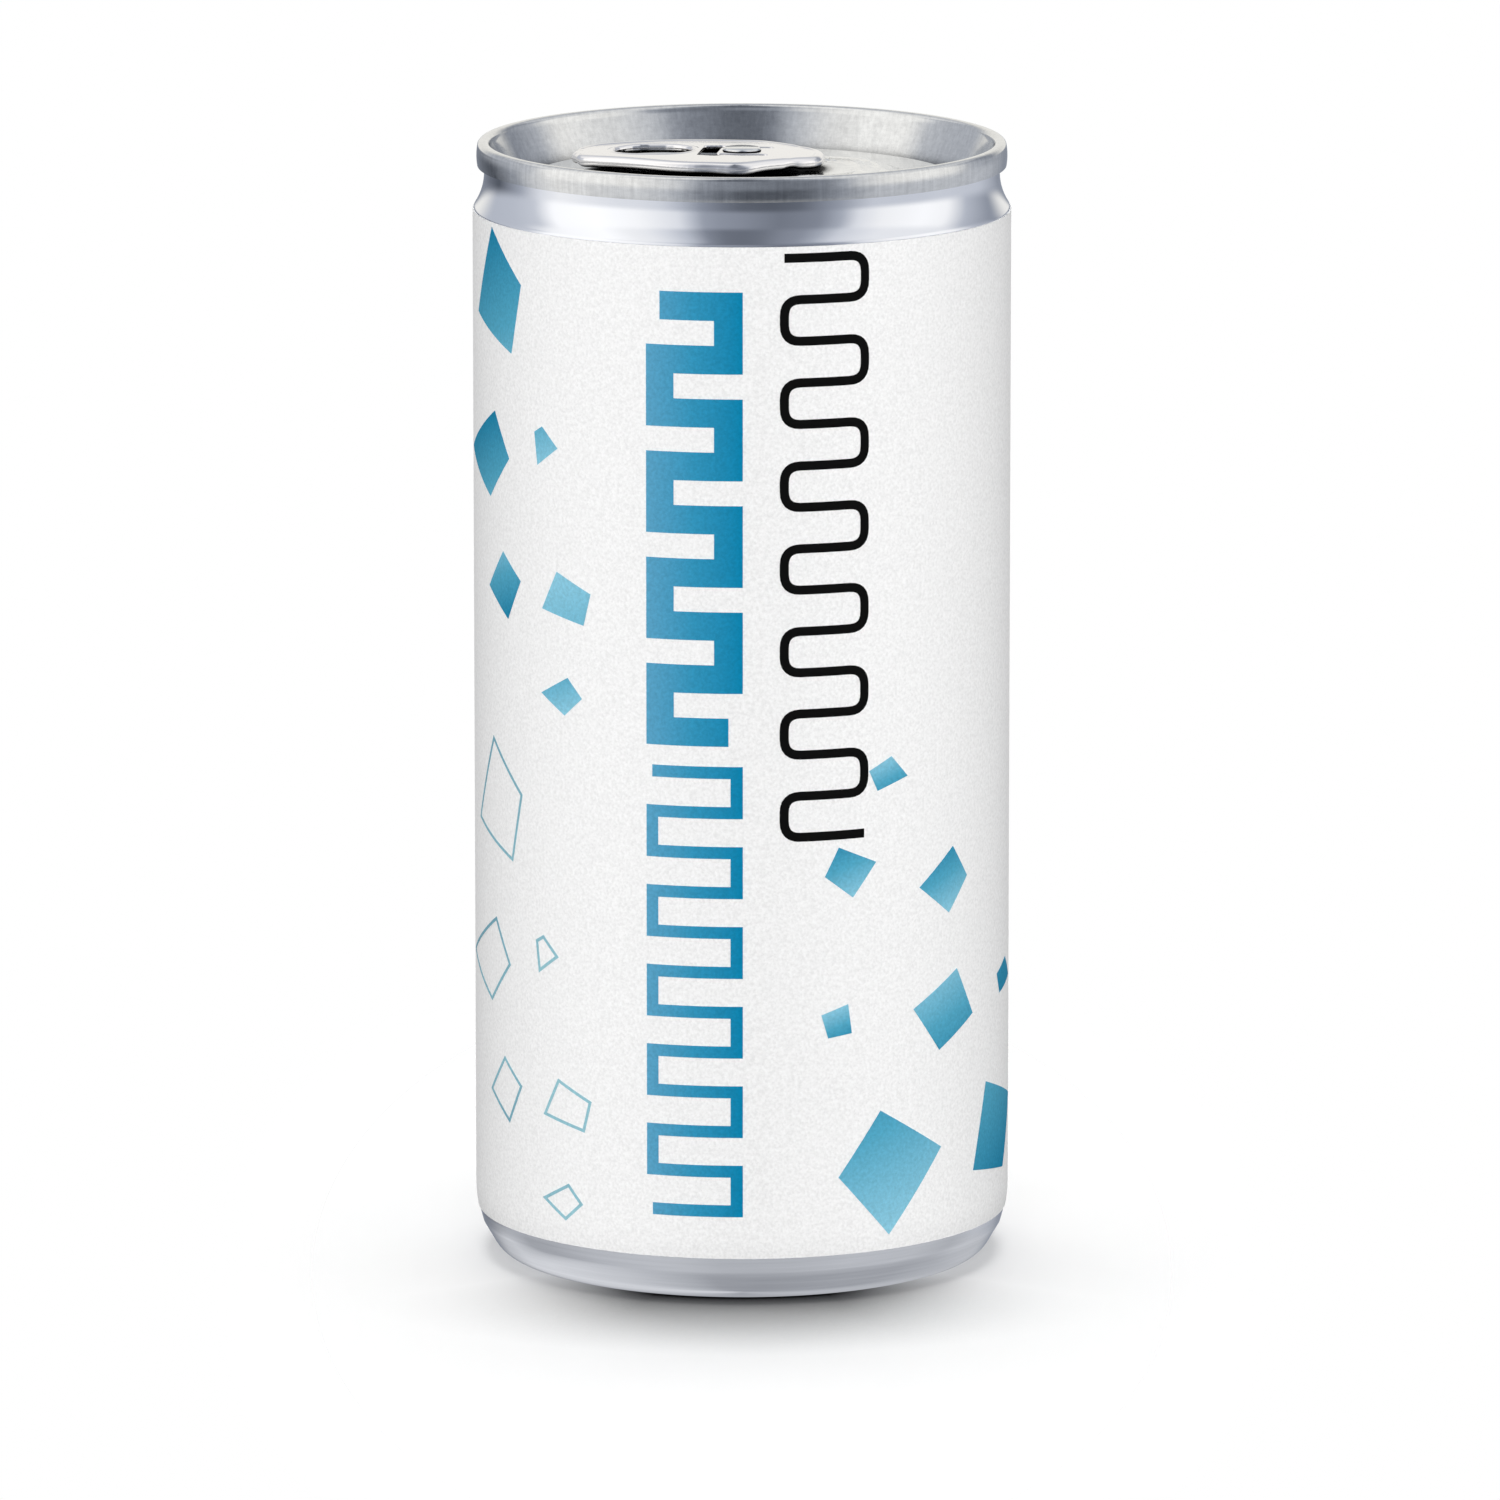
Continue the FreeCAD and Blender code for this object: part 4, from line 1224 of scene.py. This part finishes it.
BANDS = [
    # levels, how cool the dark ones are, and the heights where the band below gives way
    (UNDER_CARDS, FOOT_COOL, 0, 0),
    (FOOT_CARDS, FOOT_COOL, -0.78, -0.68),
    (LOW_CARDS, COOL, -0.45, -0.25),
    (CARDS, COOL, -0.05, 0.12),
    (HIGH_CARDS, COOL, 0.48, 0.62),
]
print(f"{len(BANDS)} bands of cards, {sum(len(band[0]) for band in BANDS)} levels")


# %% One band of cards
def card_ramp(tree, cards, cool_share):
    """A colour ramp round the can, from degrees to brightness, cooler where it is darker."""
    ramp = add(tree, "ShaderNodeValToRGB")
    stops = ramp.color_ramp.elements
    while len(stops) > 1:
        stops.remove(stops[-1])
    for index, (degrees, level) in enumerate(cards):
        place = degrees / 360 + 0.5
        stop = stops[0] if index == 0 else stops.new(place)
        stop.position = place
        cool = cool_share * max(0.0, 1 - level)
        level /= GAIN
        stop.color = (level * (1 - cool), level, level * (1 + COOL_BLUE * cool), 1)
    return ramp


# %% The tent
bpy.ops.object.select_all(action="DESELECT")
bpy.ops.mesh.primitive_uv_sphere_add(segments=96, ring_count=48, radius=TENT_RADIUS)
tent = bpy.context.object
tent.name = "card_tent"
tent.visible_camera = False
tent.visible_diffuse = False
tent.visible_shadow = False
tent.visible_transmission = False
tent.visible_volume_scatter = False

# %% [markdown]
# ## The cards' material
# A radial gradient says how far round a place on the tent is, and its direction's Z how high.
# Each band takes over from the one below it between two heights. The lowest join leans back, as
# the floor does. A plain pale card high up at the back is laid over them all. The ramps hold
# half of each level and the glow is twice as strong, so that a level may pass 1.

# %% Cards
cards, tree, shader = new_material("cards")
tree.nodes.remove(shader)
output = tree.nodes["Material Output"]
facing = add(tree, "ShaderNodeMapping")
facing.inputs["Rotation"].default_value = (0, 0, math.radians(90))
around = add(tree, "ShaderNodeTexGradient", gradient_type="RADIAL")
tree.links.new(own(tree), facing.inputs["Vector"])
tree.links.new(facing.outputs["Vector"], around.inputs["Vector"])
toward = parts(tree, direction(tree, own(tree)))
leaning = add(tree, "ShaderNodeMath", operation="MULTIPLY_ADD")
leaning.inputs[1].default_value = -LEAN
tree.links.new(toward["Y"], leaning.inputs[0])
tree.links.new(toward["Z"], leaning.inputs[2])
tone = None
for band, cool_share, start, end in BANDS:
    ramp = card_ramp(tree, band, cool_share)
    tree.links.new(around.outputs["Fac"], ramp.inputs["Fac"])
    if tone is None:
        tone = ramp.outputs["Color"]
        continue
    height = leaning.outputs[0] if band is FOOT_CARDS else toward["Z"]
    raised = spread(tree, height, 0, 1, start, end, interpolation_type="SMOOTHSTEP")
    tone = mixed(tree, raised, tone, ramp.outputs["Color"])

# %% Back card and glow
behind = spread(tree, toward["Y"], 0, 1, BACK_FROM, BACK_FULL, interpolation_type="SMOOTHSTEP")
above = spread(tree, toward["Z"], 0, 1, 0, BACK_RISE, interpolation_type="SMOOTHSTEP")
high_back = add(tree, "ShaderNodeMath", operation="MULTIPLY")
tree.links.new(behind, high_back.inputs[0])
tree.links.new(above, high_back.inputs[1])
back_card = tuple(level / GAIN for level in BACK_CARD)
glow = add(tree, "ShaderNodeEmission", Strength=GAIN)
tree.links.new(mixed(tree, high_back.outputs[0], tone, back_card), glow.inputs["Color"])
tree.links.new(glow.outputs["Emission"], output.inputs["Surface"])
dress(tent, cards)

# %% [markdown]
# ## The lamps
# White paper wants soft, even light: a broad lamp in front, one on each side and one above. The
# metal doesn't see them, because it has the cards.

# %% Lamps
def lamp(name, azimuth, elevation, distance, size, watts):
    """A soft rectangular lamp, placed round the can and turned to face its middle."""
    turn = math.radians(azimuth)
    up = math.radians(elevation)
    level = math.cos(up)
    place = Vector((math.sin(turn) * level, -math.cos(turn) * level, math.sin(up)))
    middle = Vector((0, 0, TOP * MM / 2))
    bpy.ops.object.select_all(action="DESELECT")
    bpy.ops.object.light_add(type="AREA", location=middle + place * distance)
    light = bpy.context.object
    light.name = name
    light.rotation_euler = (-place).to_track_quat("-Z", "Y").to_euler()
    light.data.shape = "RECTANGLE"
    light.data.size = size[0]
    light.data.size_y = size[1]
    light.data.energy = watts
    light.visible_glossy = False
    print(f"{name}: {watts} W")


lamp("front_lamp", azimuth=0, elevation=8, distance=1.6, size=(1.0, 0.6), watts=20.1)
lamp("left_lamp", azimuth=-80, elevation=5, distance=1.4, size=(0.7, 0.5), watts=8.8)
lamp("right_lamp", azimuth=80, elevation=5, distance=1.4, size=(0.7, 0.5), watts=8.7)
lamp("top_lamp", azimuth=180, elevation=80, distance=1.4, size=(0.9, 0.9), watts=19.5)
bpy.context.scene.view_settings.view_transform = "Standard"
